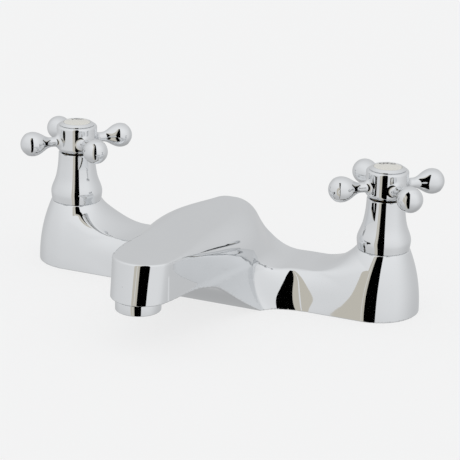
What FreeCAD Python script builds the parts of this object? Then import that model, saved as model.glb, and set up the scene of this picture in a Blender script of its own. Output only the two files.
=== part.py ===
import FreeCAD, Part
import math
import os

import Sketcher

# Bath filler for two holes: a cast bridge and spout between two quarter turn taps.
# Millimetres. X runs from the hot tap to the cold tap, the spout points to -Y, and Z is up.
# The origin lies on the deck, midway between the two taps.

SIZES = {
    # casting
    "inlet_centres": 180.0,
    "boss_height": 34.0,
    "boss_top_radius": 13.9,
    "boss_base_half_length": 20.2,
    "boss_base_half_depth": 23.4,
    "bar_height": 20.7,
    "bar_end_inset": 1.5,
    "spout_height": 46.0,
    "nose_half_width": 15.5,
    "nose_corner_reach": 104.5,
    "nose_reach": 114.6,
    "nose_foot_reach": 118.0,
    "nose_underside": 25.5,
    "root_half_width": 29.5,
    "root_reach": 36.0,
    "root_edge_radius": 17.0,
    "corner_run": 30.0,
    "corner_foot_run": 20.0,
    "corner_depth": 13.0,
    "rise_run": 24.1,
    "shoulder_overhang": 0.3,
    "hump_back_radius": 6.0,
    "pedestal_reach": 33.0,
    "underside_flat_reach": 84.0,
    "underside_bend_reach": 60.0,
    "underside_bend_height": 19.0,
    "waterway_width": 15.0,
    "waterway_height": 6.6,
    "waterway_centre": 14.6,
    "spout_bore_radius": 6.5,
    "spout_bore_height": 35.0,
    "junction_radius": 7.0,
    # inlet sockets and valve chambers
    "inlet_radius": 12.06,
    "inlet_depth": 8.5,
    "seat_hole_radius": 5.6,
    "seat_height": 11.0,
    "chamber_radius": 10.5,
    "fit_gap": 0.05,
    "loose_gap": 0.3,
    "overrun": 1.0,
    # valve cartridge
    "barrel_radius": 8.7,
    "barrel_foot": 12.6,
    "barrel_bore_radius": 7.6,
    "barrel_bore_top": 29.0,
    "thread_foot": 25.0,
    "seal_groove_height": 1.9,
    "flange_radius": 11.7,
    "flange_thickness": 2.4,
    "hexagon_flats": 19.0,
    "hexagon_height": 6.0,
    "neck_radius": 7.2,
    "neck_depth": 4.8,
    "window_width": 8.0,
    "window_foot": 20.4,
    "window_top": 24.0,
    "seat_seal_bore_radius": 5.2,
    "seat_seal_thickness": 2.0,
    "disc_thickness": 3.0,
    "disc_port_inner_radius": 2.2,
    "disc_port_outer_radius": 5.8,
    "driver_thickness": 4.4,
    "driver_tongue_width": 2.4,
    "driver_tongue_depth": 1.2,
    "tang_width": 4.0,
    "tang_depth": 2.6,
    "lug_radius": 5.2,
    "lug_height": 2.6,
    "washer_thickness": 0.8,
    "spindle_radius": 4.2,
    "seal_groove_radius": 3.0,
    "seal_groove_width": 1.6,
    "lower_seal_height": 40.0,
    "upper_seal_height": 46.0,
    "circlip_thickness": 0.9,
    "circlip_width": 1.9,
    "circlip_groove_depth": 0.7,
    "spline_radius": 4.0,
    "spline_depth": 0.45,
    "spindle_end_gap": 0.4,
    "screw_thread_radius": 2.0,
    "screw_length": 9.0,
    "screw_head_radius": 3.7,
    "screw_head_height": 2.4,
    # shroud, its heights above the casting
    "shroud_foot_radius": 13.6,
    "shroud_band_radius": 14.1,
    "shroud_band_height": 4.7,
    "shroud_swell_radius": 9.9,
    "shroud_bend_half_width": 13.0,
    "shroud_bend_height": 9.2,
    "shroud_sweep_radius": 24.9,
    "shroud_neck_half_width": 10.25,
    "shroud_neck_height": 20.5,
    "shroud_top_radius": 10.0,
    "shroud_top": 27.2,
    "shroud_wall": 1.6,
    "shroud_collar_height": 5.0,
    # handle, its heights above its foot
    "handle_gap": 0.6,
    "handle_foot_radius": 9.0,
    "hub_radius": 11.1,
    "hub_widest": 2.8,
    "hub_top": 14.8,
    "hub_edge_radius": 1.4,
    "arm_height": 6.2,
    "arm_radius": 2.7,
    "arm_reach": 25.97,
    "arm_root_radius": 4.4,
    "arm_waist_reach": 15.4,
    "ball_radius": 6.65,
    "web_thickness": 1.6,
    "head_pocket_radius": 4.6,
    "head_pocket_depth": 1.2,
    "index_pocket_radius": 8.0,
    "index_pocket_depth": 3.4,
    # index
    "bezel_radius": 9.6,
    "bezel_height": 1.5,
    "bezel_skirt_depth": 2.6,
    "index_radius": 7.3,
    "index_thickness": 1.7,
    "index_crown": 0.5,
    # aerator
    "outlet_reach": 106.1,
    "outlet_radius": 9.6,
    "outlet_depth": 8.0,
    "aerator_foot": 20.1,
    "aerator_rim_radius": 11.4,
    "aerator_bore_radius": 8.2,
    "aerator_seal_thickness": 1.6,
    "aerator_insert_height": 7.0,
    "aerator_channel_radius": 0.8,
}

# Shares and counts that shape the forms.
BELL_HEIGHT_SHARES = (0.0, 0.25, 0.5, 0.75, 0.9, 1.0)
BELL_FLARE_SHARES = (1.0, 0.951, 0.779, 0.466, 0.205, 0.0)
BAR_HEIGHT_SHARES = (0.0, 0.5, 1.0)
BAR_FLARE_SHARES = (1.0, 0.779, 0.0)
ARM_COUNT = 4
SPLINE_COUNT = 20
CHANNEL_COUNT = 12
HEXAGON_SIDES = 6
STOP_LAND_ANGLE = 44.0
STOP_LUG_ANGLE = 45.0
PORT_ANGLE = 76.0
DRIVER_CORNER_ANGLE = 30.0
TANG_CORNER_ANGLE = 20.0
UNDER_BEND_SHARE = 0.32
NOTCH_SHARE = 0.8
BALL_TOUCH_SHARE = 0.72
RECESS_ARM_SHARE = 0.6
CHANNEL_RING_SHARE = 0.68
HANDLE_REST_ANGLES = {"hot": 50.3, "cold": 44.8}

doc = FreeCAD.newDocument("bath_filler")
sheet = doc.addObject("Spreadsheet::Sheet", "Sizes")
for row, (alias, value) in enumerate(SIZES.items(), start=1):
    sheet.set(f"A{row}", alias)
    sheet.set(f"B{row}", str(value))
    sheet.setAlias(f"B{row}", alias)
doc.recompute()


class Size:
    """A length with its value and the expression that gives it from the sheet."""

    def __init__(self, value, text):
        self.value = value
        self.text = text

    def __add__(self, other):
        other = as_size(other)
        return Size(self.value + other.value, f"({self.text} + {other.text})")

    def __radd__(self, other):
        return as_size(other) + self

    def __sub__(self, other):
        other = as_size(other)
        return Size(self.value - other.value, f"({self.text} - {other.text})")

    def __rsub__(self, other):
        return as_size(other) - self

    def __mul__(self, other):
        other = as_size(other)
        return Size(self.value * other.value, f"({self.text} * {other.text})")

    def __rmul__(self, other):
        return as_size(other) * self

    def __truediv__(self, other):
        other = as_size(other)
        return Size(self.value / other.value, f"({self.text} / {other.text})")

    def __neg__(self):
        return Size(-self.value, f"(-1 * {self.text})")


def as_size(item):
    """A plain number becomes a size, so both can stand in one sum."""
    return item if isinstance(item, Size) else Size(float(item), repr(float(item)))


class Named:
    """The driving sizes, read by name."""

    def __getattr__(self, alias):
        return Size(SIZES[alias], f"Sizes.{alias}")


d = Named()
ZERO = as_size(0)


def vertex(x, y, z=ZERO):
    """A point whose three coordinates are sizes."""
    return FreeCAD.Vector(as_size(x).value, as_size(y).value, as_size(z).value)


def origin_plane(body, role):
    """One of the body's own origin planes."""
    return next(item for item in body.Origin.OriginFeatures if item.Role == role)


def pin_point(sketch, index, position, x, y):
    """Holds one end of a drawn element at named distances from the sketch's origin."""
    for kind, axis, length in (("DistanceX", -2, x), ("DistanceY", -1, y)):
        length = as_size(length)
        if abs(length.value) < 1e-9:
            sketch.addConstraint(Sketcher.Constraint("PointOnObject", index, position, axis))
        elif length.value > 0:
            row = sketch.addConstraint(Sketcher.Constraint(kind, -1, 1, index, position, length.value))
            sketch.setExpression(f"Constraints[{row}]", length.text)
        else:
            row = sketch.addConstraint(Sketcher.Constraint(kind, index, position, -1, 1, -length.value))
            sketch.setExpression(f"Constraints[{row}]", (-length).text)


def arc_centre(first, last, radius, side):
    """Centre of an arc; side is 1 where it turns left on its way and -1 where it turns right."""
    run = last - first
    half = run.Length / 2
    rise = math.sqrt(max(radius * radius - half * half, 0.0))
    normal = FreeCAD.Vector(-run.y, run.x, 0).normalize()
    return (first + last) * 0.5 + normal * (side * rise)


def draw_outline(sketch, points):
    """Draws a closed outline. A point is (x, y), or (x, y, radius, side) where an arc leads to it."""
    count = len(points)
    ends = []
    for number in range(count):
        start, stop = points[number - 1], points[number]
        first, last = vertex(start[0], start[1]), vertex(stop[0], stop[1])
        if len(stop) == 2:
            index = sketch.addGeometry(Part.LineSegment(first, last), False)
            ends.append((index, 1, 2))
            continue
        radius, side = as_size(stop[2]), stop[3]
        centre = arc_centre(first, last, radius.value, side)
        head, tail = (first, last) if side > 0 else (last, first)
        circle = Part.Circle(centre, FreeCAD.Vector(0, 0, 1), radius.value)
        begin = math.atan2(head.y - centre.y, head.x - centre.x)
        end = math.atan2(tail.y - centre.y, tail.x - centre.x)
        index = sketch.addGeometry(Part.ArcOfCircle(circle, begin, end), False)
        row = sketch.addConstraint(Sketcher.Constraint("Radius", index, radius.value))
        sketch.setExpression(f"Constraints[{row}]", radius.text)
        ends.append((index, 1, 2) if side > 0 else (index, 2, 1))
    for number in range(count):
        index, opening, closing = ends[number]
        following, next_opening, _ = ends[(number + 1) % count]
        sketch.addConstraint(Sketcher.Constraint("Coincident", index, closing, following, next_opening))
        pin_point(sketch, index, closing, points[number][0], points[number][1])


def add_sketch(body, name, role, points, height=None):
    """A closed outline on one of the body's own planes, raised by a named height where one is given."""
    sketch = body.newObject("Sketcher::SketchObject", name)
    sketch.AttachmentSupport = [(origin_plane(body, role), "")]
    sketch.MapMode = "FlatFace"
    if height is not None:
        sketch.setExpression("AttachmentOffset.Base.z", as_size(height).text)
    draw_outline(sketch, points)
    return sketch


def place(item, x=None, y=None, z=None, turn=0.0):
    """Places an object by named sizes, turned about its upright axis by an angle."""
    item.Placement = FreeCAD.Placement(
        FreeCAD.Vector(0, 0, 0), FreeCAD.Rotation(FreeCAD.Vector(0, 0, 1), turn)
    )
    for letter, length in (("x", x), ("y", y), ("z", z)):
        if length is not None:
            item.setExpression(f"Placement.Base.{letter}", as_size(length).text)


def new_body(label):
    """A sub-part of its own."""
    body = doc.addObject("PartDesign::Body", label)
    body.Label = label
    return body


def turned(label, points):
    """A sub-part turned about its upright axis, from (radius, height) points."""
    body = new_body(label)
    sketch = add_sketch(body, f"{label}_profile", "XZ_Plane", points)
    revolve(body, f"{label}_turning", sketch)
    return body


def revolve(body, name, sketch, axis="V_Axis"):
    """A full turn of a sketch."""
    feature = body.newObject("PartDesign::Revolution", name)
    feature.Profile = sketch
    feature.ReferenceAxis = (sketch, [axis])
    feature.Angle = 360
    return feature


def pad(body, name, sketch, length):
    """Material added upward from a sketch."""
    feature = body.newObject("PartDesign::Pad", name)
    feature.Profile = sketch
    feature.setExpression("Length", as_size(length).text)
    return feature


def pocket(body, name, sketch, length, upward=True):
    """Material cut away from a sketch, upward unless told otherwise."""
    feature = body.newObject("PartDesign::Pocket", name)
    feature.Profile = sketch
    feature.Reversed = upward
    feature.setExpression("Length", as_size(length).text)
    return feature


def polar(body, name, features, count):
    """Copies of features around the body's upright axis."""
    pattern = body.newObject("PartDesign::PolarPattern", name)
    pattern.Originals = features
    pattern.Axis = (origin_axis(body, "Z_Axis"), [""])
    pattern.Angle = 360
    pattern.Occurrences = count
    body.Tip = pattern
    return pattern


def origin_axis(body, role):
    """One of the body's own origin axes."""
    return next(item for item in body.Origin.OriginFeatures if item.Role == role)


def rectangle(half_length, half_width):
    """Corner points of a rectangle about the origin."""
    return [
        (-half_length, -half_width),
        (half_length, -half_width),
        (half_length, half_width),
        (-half_length, half_width),
    ]


def sector(inner, outer, middle_angle, width_angle):
    """Outline of a ring's sector."""
    low = math.radians(middle_angle - width_angle / 2)
    high = math.radians(middle_angle + width_angle / 2)
    return [
        (outer * math.cos(low), outer * math.sin(low)),
        (outer * math.cos(high), outer * math.sin(high), outer, 1),
        (inner * math.cos(high), inner * math.sin(high)),
        (inner * math.cos(low), inner * math.sin(low), inner, -1),
    ]


def cylinder(name, radius, height, x=None, y=None, z=None):
    """An upright cylinder."""
    item = doc.addObject("Part::Cylinder", name)
    place(item, x, y, z)
    item.setExpression("Radius", as_size(radius).text)
    item.setExpression("Height", as_size(height).text)
    return item


def ring(label, middle_radius, wire_radius, height):
    """A round-section ring about the upright axis."""
    item = doc.addObject("Part::Torus", label)
    place(item, z=height)
    item.setExpression("Radius1", as_size(middle_radius).text)
    item.setExpression("Radius2", as_size(wire_radius).text)
    return item


# Casting: walls that follow the plan, a top that follows the front view, and two bells

def mirrored(edges):
    """The same edges on the other side of the middle plane, in reverse order."""
    return [edge.mirror(FreeCAD.Vector(0, 0, 0), FreeCAD.Vector(1, 0, 0)) for edge in reversed(edges)]


def quarter(tip, foot, centre):
    """A quarter of an ellipse from the tip of its long half to the foot of its short half."""
    curve = Part.Ellipse(vertex(*tip), vertex(*foot), vertex(*centre))
    return Part.ArcOfEllipse(curve, 0, math.pi / 2).toShape()


def plan_wire(height, flare):
    """The casting's plan at one height; flare is 0 at the bar's top and 1 at the deck."""
    front = d.boss_top_radius + (d.boss_base_half_depth - d.boss_top_radius) * flare
    lean = (d.nose_foot_reach - d.nose_reach) / (d.spout_height - d.nose_underside)
    nose_tip = d.nose_reach + (d.spout_height - height) * lean
    bar_end = d.inlet_centres / 2 - d.bar_end_inset
    run = d.corner_run + (d.corner_foot_run - d.corner_run) * flare
    taper = (d.root_half_width - d.nose_half_width) / (d.nose_corner_reach - d.root_reach)
    root_y = -front - d.corner_depth
    root_x = d.nose_half_width + (d.nose_corner_reach + root_y) * taper
    foot_x = root_x + run

    def at(x, y):
        return vertex(x, y, height)

    nose = at(d.nose_half_width, -d.nose_corner_reach)
    far_nose = at(-d.nose_half_width, -d.nose_corner_reach)
    right = [
        Part.makeLine(nose, at(root_x, root_y)),
        quarter((root_x, root_y, height), (foot_x, -front, height), (foot_x, root_y, height)),
        Part.makeLine(at(foot_x, -front), at(bar_end, -front)),
        Part.makeLine(at(bar_end, -front), at(bar_end, front)),
    ]
    tip = Part.Arc(far_nose, at(ZERO, -nose_tip), nose).toShape()
    back = Part.makeLine(at(bar_end, front), at(-bar_end, front))
    return Part.Wire([tip] + right + [back] + mirrored(right))


# Stations of the top form: place, half width, shoulder radius, slope angle, foot radius.
# A place is a share of the nose's or the back's reach; widths and radii are shares of the root's.
TOP_STATION_SHARES = (
    (-1.196, 0.424, 0.071, 89.0, 0.353),
    (-1.000, 0.536, 0.071, 89.0, 0.353),
    (-0.804, 0.651, 0.218, 89.0, 0.412),
    (-0.545, 0.834, 0.676, 88.0, 0.471),
    (-0.316, 1.010, 1.000, 80.0, 0.471),
    (-0.134, 0.949, 1.059, 65.0, 0.824),
    (0.000, 0.746, 1.000, 60.0, 1.176),
    (0.134, 0.542, 0.882, 57.0, 1.529),
    (0.249, 0.525, 0.824, 57.0, 1.529),
)


def top_wire(place_share, width_share, radius_share, slope, foot_share):
    """The top form's section at one station: bar, foot blend, slope, shoulder and crown."""
    y = d.nose_corner_reach * place_share
    half_width = d.root_half_width * width_share + d.shoulder_overhang
    shoulder = d.root_edge_radius * radius_share
    foot = d.root_edge_radius * foot_share
    end = d.inlet_centres / 2 + d.boss_base_half_length
    sine, cosine = math.sin(math.radians(slope)), math.cos(math.radians(slope))
    half_sine, half_cosine = math.sin(math.radians(slope / 2)), math.cos(math.radians(slope / 2))
    crown = half_width - shoulder
    high = (crown + shoulder * sine, d.spout_height - shoulder * (1 - cosine))
    low_height = d.bar_height + foot * (1 - cosine)
    low = (high[0] + (high[1] - low_height) * (cosine / sine), low_height)
    foot_end = low[0] + foot * sine
    shoulder_middle = (crown + shoulder * half_sine, d.spout_height - shoulder * (1 - half_cosine))
    foot_middle = (foot_end - foot * half_sine, d.bar_height + foot * (1 - half_cosine))

    def at(x, z, side=1):
        return vertex(as_size(x) * side, y, z)

    right = [
        Part.makeLine(at(end, -d.overrun), at(end, d.bar_height)),
        Part.makeLine(at(end, d.bar_height), at(foot_end, d.bar_height)),
        Part.Arc(at(foot_end, d.bar_height), at(*foot_middle), at(*low)).toShape(),
        Part.makeLine(at(*low), at(*high)),
        Part.Arc(at(*high), at(*shoulder_middle), at(crown, d.spout_height)).toShape(),
    ]
    bottom = Part.makeLine(at(end, -d.overrun, -1), at(end, -d.overrun))
    top = Part.makeLine(at(crown, d.spout_height), at(crown, d.spout_height, -1))
    return Part.Wire([bottom] + right + [top] + mirrored(right))


def bell_solid(side):
    """The flared base under one tap, from oval sections."""
    centre = d.inlet_centres / 2 * side
    sections = []
    for height_share, flare_share in zip(BELL_HEIGHT_SHARES, BELL_FLARE_SHARES):
        height = d.boss_height * height_share
        depth = d.boss_top_radius + (d.boss_base_half_depth - d.boss_top_radius) * flare_share
        length = d.boss_top_radius + (d.boss_base_half_length - d.boss_top_radius) * flare_share
        middle = vertex(centre, ZERO, height)
        if flare_share > 0:
            long_end, short_end = vertex(centre, depth, height), vertex(centre + length, ZERO, height)
            curve = Part.Ellipse(long_end, short_end, middle)
        else:
            curve = Part.Circle(middle, FreeCAD.Vector(0, 0, 1), depth.value)
        sections.append(Part.Wire([curve.toShape()]))
    return Part.makeLoft(sections, True, False)


def bar_section(x, height, inset):
    """The bar's upright section at one place: flared walls up to the height, set in a little."""
    reach = d.boss_base_half_depth - d.boss_top_radius
    wall = [(d.boss_top_radius + reach * flare - inset, height * share)
            for share, flare in zip(BELL_HEIGHT_SHARES, BELL_FLARE_SHARES)]
    edges = []
    for sign in (-1, 1):
        curve = Part.BSplineCurve()
        curve.interpolate([vertex(x, y * sign, z) for y, z in wall])
        edges.append(curve.toShape())
    half_foot, half_top = wall[0][0], wall[-1][0]
    foot = Part.makeLine(vertex(x, half_foot, ZERO), vertex(x, -half_foot, ZERO))
    top = Part.makeLine(vertex(x, -half_top, height), vertex(x, half_top, height))
    return Part.Wire([edges[0], top, edges[1], foot])


def bar_end(side):
    """The end of the bar, which swells and rises in a sweep to one bell."""
    centre = d.inlet_centres / 2
    stop = centre - d.bar_end_inset
    neck = centre - d.boss_top_radius + d.loose_gap
    start = neck - d.rise_run
    foot_section = bar_section(start * side, d.bar_height, d.loose_gap)
    top_section = bar_section(stop * side, d.boss_height, d.loose_gap * 2)
    swell = Part.makeLoft([foot_section, top_section], True, True)

    def at(x, z):
        return vertex(x * side, ZERO, z)

    outline = [
        quarter(
            (neck * side, ZERO, d.boss_height),
            (start * side, ZERO, d.bar_height),
            (start * side, ZERO, d.boss_height),
        ),
        Part.makeLine(at(start, d.bar_height), at(ZERO, d.bar_height)),
        Part.makeLine(at(ZERO, d.bar_height), at(ZERO, ZERO)),
        Part.makeLine(at(ZERO, ZERO), at(centre, ZERO)),
        Part.makeLine(at(centre, ZERO), at(centre, d.boss_height)),
        Part.makeLine(at(centre, d.boss_height), at(neck, d.boss_height)),
    ]
    sweep = Part.Face(Part.Wire(outline)).revolve(at(centre, ZERO), FreeCAD.Vector(0, 0, 1), 360)
    return swell.common(sweep)


def across(outline, half_length):
    """A solid from an outline of (y, z) points, run along X; an arc's middle follows its end."""
    edges = []
    for start, stop in zip(outline, outline[1:] + outline[:1]):
        first = vertex(-half_length, start[0], start[1])
        last = vertex(-half_length, stop[0], stop[1])
        if len(stop) == 2:
            edges.append(Part.makeLine(first, last))
        else:
            middle = vertex(-half_length, stop[2], stop[3])
            edges.append(Part.Arc(first, middle, last).toShape())
    return Part.Face(Part.Wire(edges)).extrude(vertex(half_length * 2, ZERO, ZERO))


def casting_form():
    """The outside of the casting, from its plan, its front view and its side view."""
    levels = zip(BAR_HEIGHT_SHARES, BAR_FLARE_SHARES)
    lower = [plan_wire(d.bar_height * share, flare) for share, flare in levels]
    upper = [plan_wire(d.bar_height, 0), plan_wire(d.spout_height + d.overrun, 0)]
    walls = Part.makeLoft(lower, True, False).fuse(Part.makeLoft(upper, True, True))
    top = Part.makeLoft([top_wire(*station) for station in TOP_STATION_SHARES], True, False)
    solid = walls.common(top)
    far = d.nose_foot_reach + d.spout_height
    bend_y = -(d.underside_flat_reach + d.underside_bend_reach) / 2
    bend_z = d.nose_underside - (d.nose_underside - d.underside_bend_height) * UNDER_BEND_SHARE
    slope = (d.underside_bend_reach - d.pedestal_reach) / d.underside_bend_height
    under = [
        (-far - d.overrun, -d.overrun),
        (-far - d.overrun, d.nose_underside),
        (-d.underside_flat_reach, d.nose_underside),
        (-d.underside_bend_reach, d.underside_bend_height, bend_y, bend_z),
        (-d.pedestal_reach + d.overrun * slope, -d.overrun),
    ]
    back = d.boss_top_radius
    corner = math.sqrt(0.5)
    behind = [
        (back + d.overrun, d.spout_height - d.hump_back_radius),
        (back, d.spout_height - d.hump_back_radius),
        (
            back - d.hump_back_radius,
            d.spout_height,
            back - d.hump_back_radius * (1 - corner),
            d.spout_height - d.hump_back_radius * (1 - corner),
        ),
        (back - d.hump_back_radius, d.spout_height + d.overrun * 2),
        (back + d.overrun, d.spout_height + d.overrun * 2),
    ]
    reach = d.inlet_centres / 2
    solid = solid.cut([across(under, reach), across(behind, reach)])
    ends = [form(side) for form in (bar_end, bell_solid) for side in (-1, 1)]
    return solid.fuse(ends).removeSplitter()


form = doc.addObject("Part::Feature", "casting_form")
form.Shape = casting_form()

# Waterways: socket, seat hole and chamber at each end, a cross passage, a riser and the spout's bore
half_centres = d.inlet_centres / 2
cutters = []
socket_height = d.inlet_depth + d.overrun
chamber_height = d.boss_height - d.seat_height + d.overrun
for side, sign in (("hot", -1), ("cold", 1)):
    centre = half_centres * sign
    cutters += [
        cylinder(f"{side}_socket", d.inlet_radius, socket_height, centre, None, -d.overrun),
        cylinder(f"{side}_seat_hole", d.seat_hole_radius, d.seat_height, centre, None, d.overrun),
        cylinder(f"{side}_chamber", d.chamber_radius, chamber_height, centre, None, d.seat_height),
    ]
passage = doc.addObject("Part::Box", "cross_passage")
place(passage, -half_centres, -d.waterway_width / 2, d.waterway_centre - d.waterway_height / 2)
passage.setExpression("Length", d.inlet_centres.text)
passage.setExpression("Width", d.waterway_width.text)
passage.setExpression("Height", d.waterway_height.text)
cutters.append(passage)
riser_height = d.spout_bore_height - d.waterway_centre
cutters.append(cylinder("riser", d.junction_radius, riser_height, None, None, d.waterway_centre))
spout_bore = cylinder("spout_bore", d.spout_bore_radius, d.outlet_reach)
forward = FreeCAD.Rotation(FreeCAD.Vector(1, 0, 0), 90)
spout_bore.Placement = FreeCAD.Placement(FreeCAD.Vector(0, 0, 0), forward)
spout_bore.setExpression("Placement.Base.z", d.spout_bore_height.text)
cutters.append(spout_bore)
outlet_height = d.outlet_depth + d.overrun
outlet_foot = d.nose_underside - d.overrun
drop_height = d.spout_bore_height - d.nose_underside
for name, radius, height, foot in (
    ("outlet_socket", d.outlet_radius, outlet_height, outlet_foot),
    ("outlet_drop", d.spout_bore_radius, drop_height, d.nose_underside),
):
    cutters.append(cylinder(name, radius, height, None, -d.outlet_reach, foot))
water = doc.addObject("Part::MultiFuse", "waterways")
water.Shapes = cutters
casting = doc.addObject("Part::Cut", "body_casting")
casting.Base = form
casting.Tool = water

# Levels inside the valve, from the seat upward
seal_top = d.seat_height + d.seat_seal_thickness
fixed_top = seal_top + d.disc_thickness
moving_top = fixed_top + d.disc_thickness
driver_top = moving_top + d.driver_thickness
spindle_flange_top = driver_top + d.washer_thickness * 2
washer_foot = d.barrel_bore_top - d.washer_thickness
piece_radius = d.barrel_bore_radius - d.fit_gap * 2
journal_bore = d.spindle_radius + d.fit_gap
shroud_top = d.boss_height + d.shroud_top
neck_top = shroud_top - d.neck_depth
neck_groove_foot = neck_top + d.fit_gap
handle_foot = shroud_top + d.handle_gap
arm_height = handle_foot + d.arm_height
hub_top = handle_foot + d.hub_top
index_floor = hub_top - d.index_pocket_depth
web_top = index_floor - d.head_pocket_depth
web_foot = web_top - d.web_thickness
spindle_top = web_foot - d.spindle_end_gap


def cartridge_body(side):
    """Brass carrier: barrel, thread, flange, hexagon, neck and the lands that stop the spindle."""
    thread = d.chamber_radius - d.fit_gap
    groove_foot = d.boss_height - d.seal_groove_height
    flange_top = d.boss_height + d.flange_thickness
    body = turned(f"cartridge_body_{side}", [
        (d.barrel_bore_radius, d.barrel_foot),
        (d.barrel_radius, d.barrel_foot),
        (d.barrel_radius, d.thread_foot),
        (thread, d.thread_foot),
        (thread, groove_foot),
        (d.barrel_radius, groove_foot),
        (d.barrel_radius, d.boss_height),
        (d.flange_radius, d.boss_height),
        (d.flange_radius, flange_top),
        (d.neck_radius, flange_top),
        (d.neck_radius, neck_top),
        (journal_bore, neck_top),
        (journal_bore, d.barrel_bore_top),
        (d.barrel_bore_radius, d.barrel_bore_top),
    ])
    corner = d.hexagon_flats / 2 / math.cos(math.pi / HEXAGON_SIDES)
    angles = [math.tau * number / HEXAGON_SIDES for number in range(HEXAGON_SIDES)]
    corners = [(corner * math.cos(angle), corner * math.sin(angle)) for angle in angles]
    hexagon = add_sketch(body, f"hexagon_{side}", "XY_Plane", corners, flange_top)
    bored = pad(body, f"hexagon_pad_{side}", hexagon, d.hexagon_height)
    bore = add_circle(body, f"journal_{side}", journal_bore, flange_top)
    pocket(body, f"journal_bore_{side}", bore, d.hexagon_height)
    opening = rectangle(d.chamber_radius, d.window_width / 2)
    window = add_sketch(body, f"window_{side}", "XY_Plane", opening, d.window_foot)
    pocket(body, f"windows_{side}", window, d.window_top - d.window_foot)
    land = sector(d.lug_radius + d.fit_gap * 2, d.barrel_bore_radius + d.fit_gap, 0, STOP_LAND_ANGLE)
    foot = spindle_flange_top + d.fit_gap * 2
    lands = add_sketch(body, f"land_{side}", "XY_Plane", land, foot)
    first = pad(body, f"land_pad_{side}", lands, d.lug_height - d.fit_gap * 4)
    polar(body, f"lands_{side}", [first], 2)
    return body


def add_circle(body, name, radius, height, x=ZERO):
    """A circle in the ground plane, raised by a named height, with its middle on the X axis."""
    sketch = body.newObject("Sketcher::SketchObject", name)
    sketch.AttachmentSupport = [(origin_plane(body, "XY_Plane"), "")]
    sketch.MapMode = "FlatFace"
    sketch.setExpression("AttachmentOffset.Base.z", as_size(height).text)
    circle = Part.Circle(vertex(x, ZERO), FreeCAD.Vector(0, 0, 1), as_size(radius).value)
    index = sketch.addGeometry(circle, False)
    pin_point(sketch, index, 3, x, ZERO)
    row = sketch.addConstraint(Sketcher.Constraint("Radius", index, as_size(radius).value))
    sketch.setExpression(f"Constraints[{row}]", as_size(radius).text)
    return sketch


def fixed_disc(side):
    """Ceramic disc that stays still, with two ports along X."""
    return ceramic_disc(f"fixed_disc_{side}", seal_top, 0)


def ceramic_disc(label, foot, port_angle):
    """A ceramic disc with two opposite ports."""
    body = washer(label, ZERO, piece_radius, foot, d.disc_thickness)
    port = sector(d.disc_port_inner_radius, d.disc_port_outer_radius, port_angle, PORT_ANGLE)
    sketch = add_sketch(body, f"{label}_port", "XY_Plane", port, foot)
    cut = pocket(body, f"{label}_port_cut", sketch, d.disc_thickness)
    polar(body, f"{label}_ports", [cut], 2)
    return body


def moving_disc(side):
    """Ceramic disc that turns, with ports across the fixed ones while shut and a groove for the driver."""
    body = ceramic_disc(f"moving_disc_{side}", fixed_top, 90)
    outline = rectangle(piece_radius + d.overrun, d.driver_tongue_width / 2 + d.fit_gap)
    groove_floor = moving_top - d.driver_tongue_depth
    groove = add_sketch(body, f"groove_{side}", "XY_Plane", outline, groove_floor)
    pocket(body, f"groove_cut_{side}", groove, d.driver_tongue_depth)
    return body


def disc_driver(side):
    """Plastic coupling with a tongue in the moving disc and a slot for the spindle's tang."""
    body = new_body(f"disc_driver_{side}")
    half = d.driver_tongue_width / 2
    reach = piece_radius * math.cos(math.radians(DRIVER_CORNER_ANGLE))
    wide = piece_radius / 2
    block = [
        (reach, -wide),
        (reach, wide, piece_radius, 1),
        (-reach, wide),
        (-reach, -wide, piece_radius, 1),
    ]
    outline = add_sketch(body, f"driver_outline_{side}", "XY_Plane", block, moving_top)
    pad(body, f"driver_block_{side}", outline, d.driver_thickness)
    tongue_foot = moving_top - d.driver_tongue_depth + d.fit_gap
    tongue = add_sketch(body, f"tongue_{side}", "XY_Plane", rectangle(reach, half), tongue_foot)
    pad(body, f"tongue_pad_{side}", tongue, d.driver_tongue_depth - d.fit_gap)
    opening = rectangle(piece_radius, d.tang_width / 2 + d.fit_gap)
    slot = add_sketch(body, f"tang_slot_{side}", "XY_Plane", opening, driver_top - d.tang_depth)
    pocket(body, f"tang_slot_cut_{side}", slot, d.tang_depth)
    return body


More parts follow.
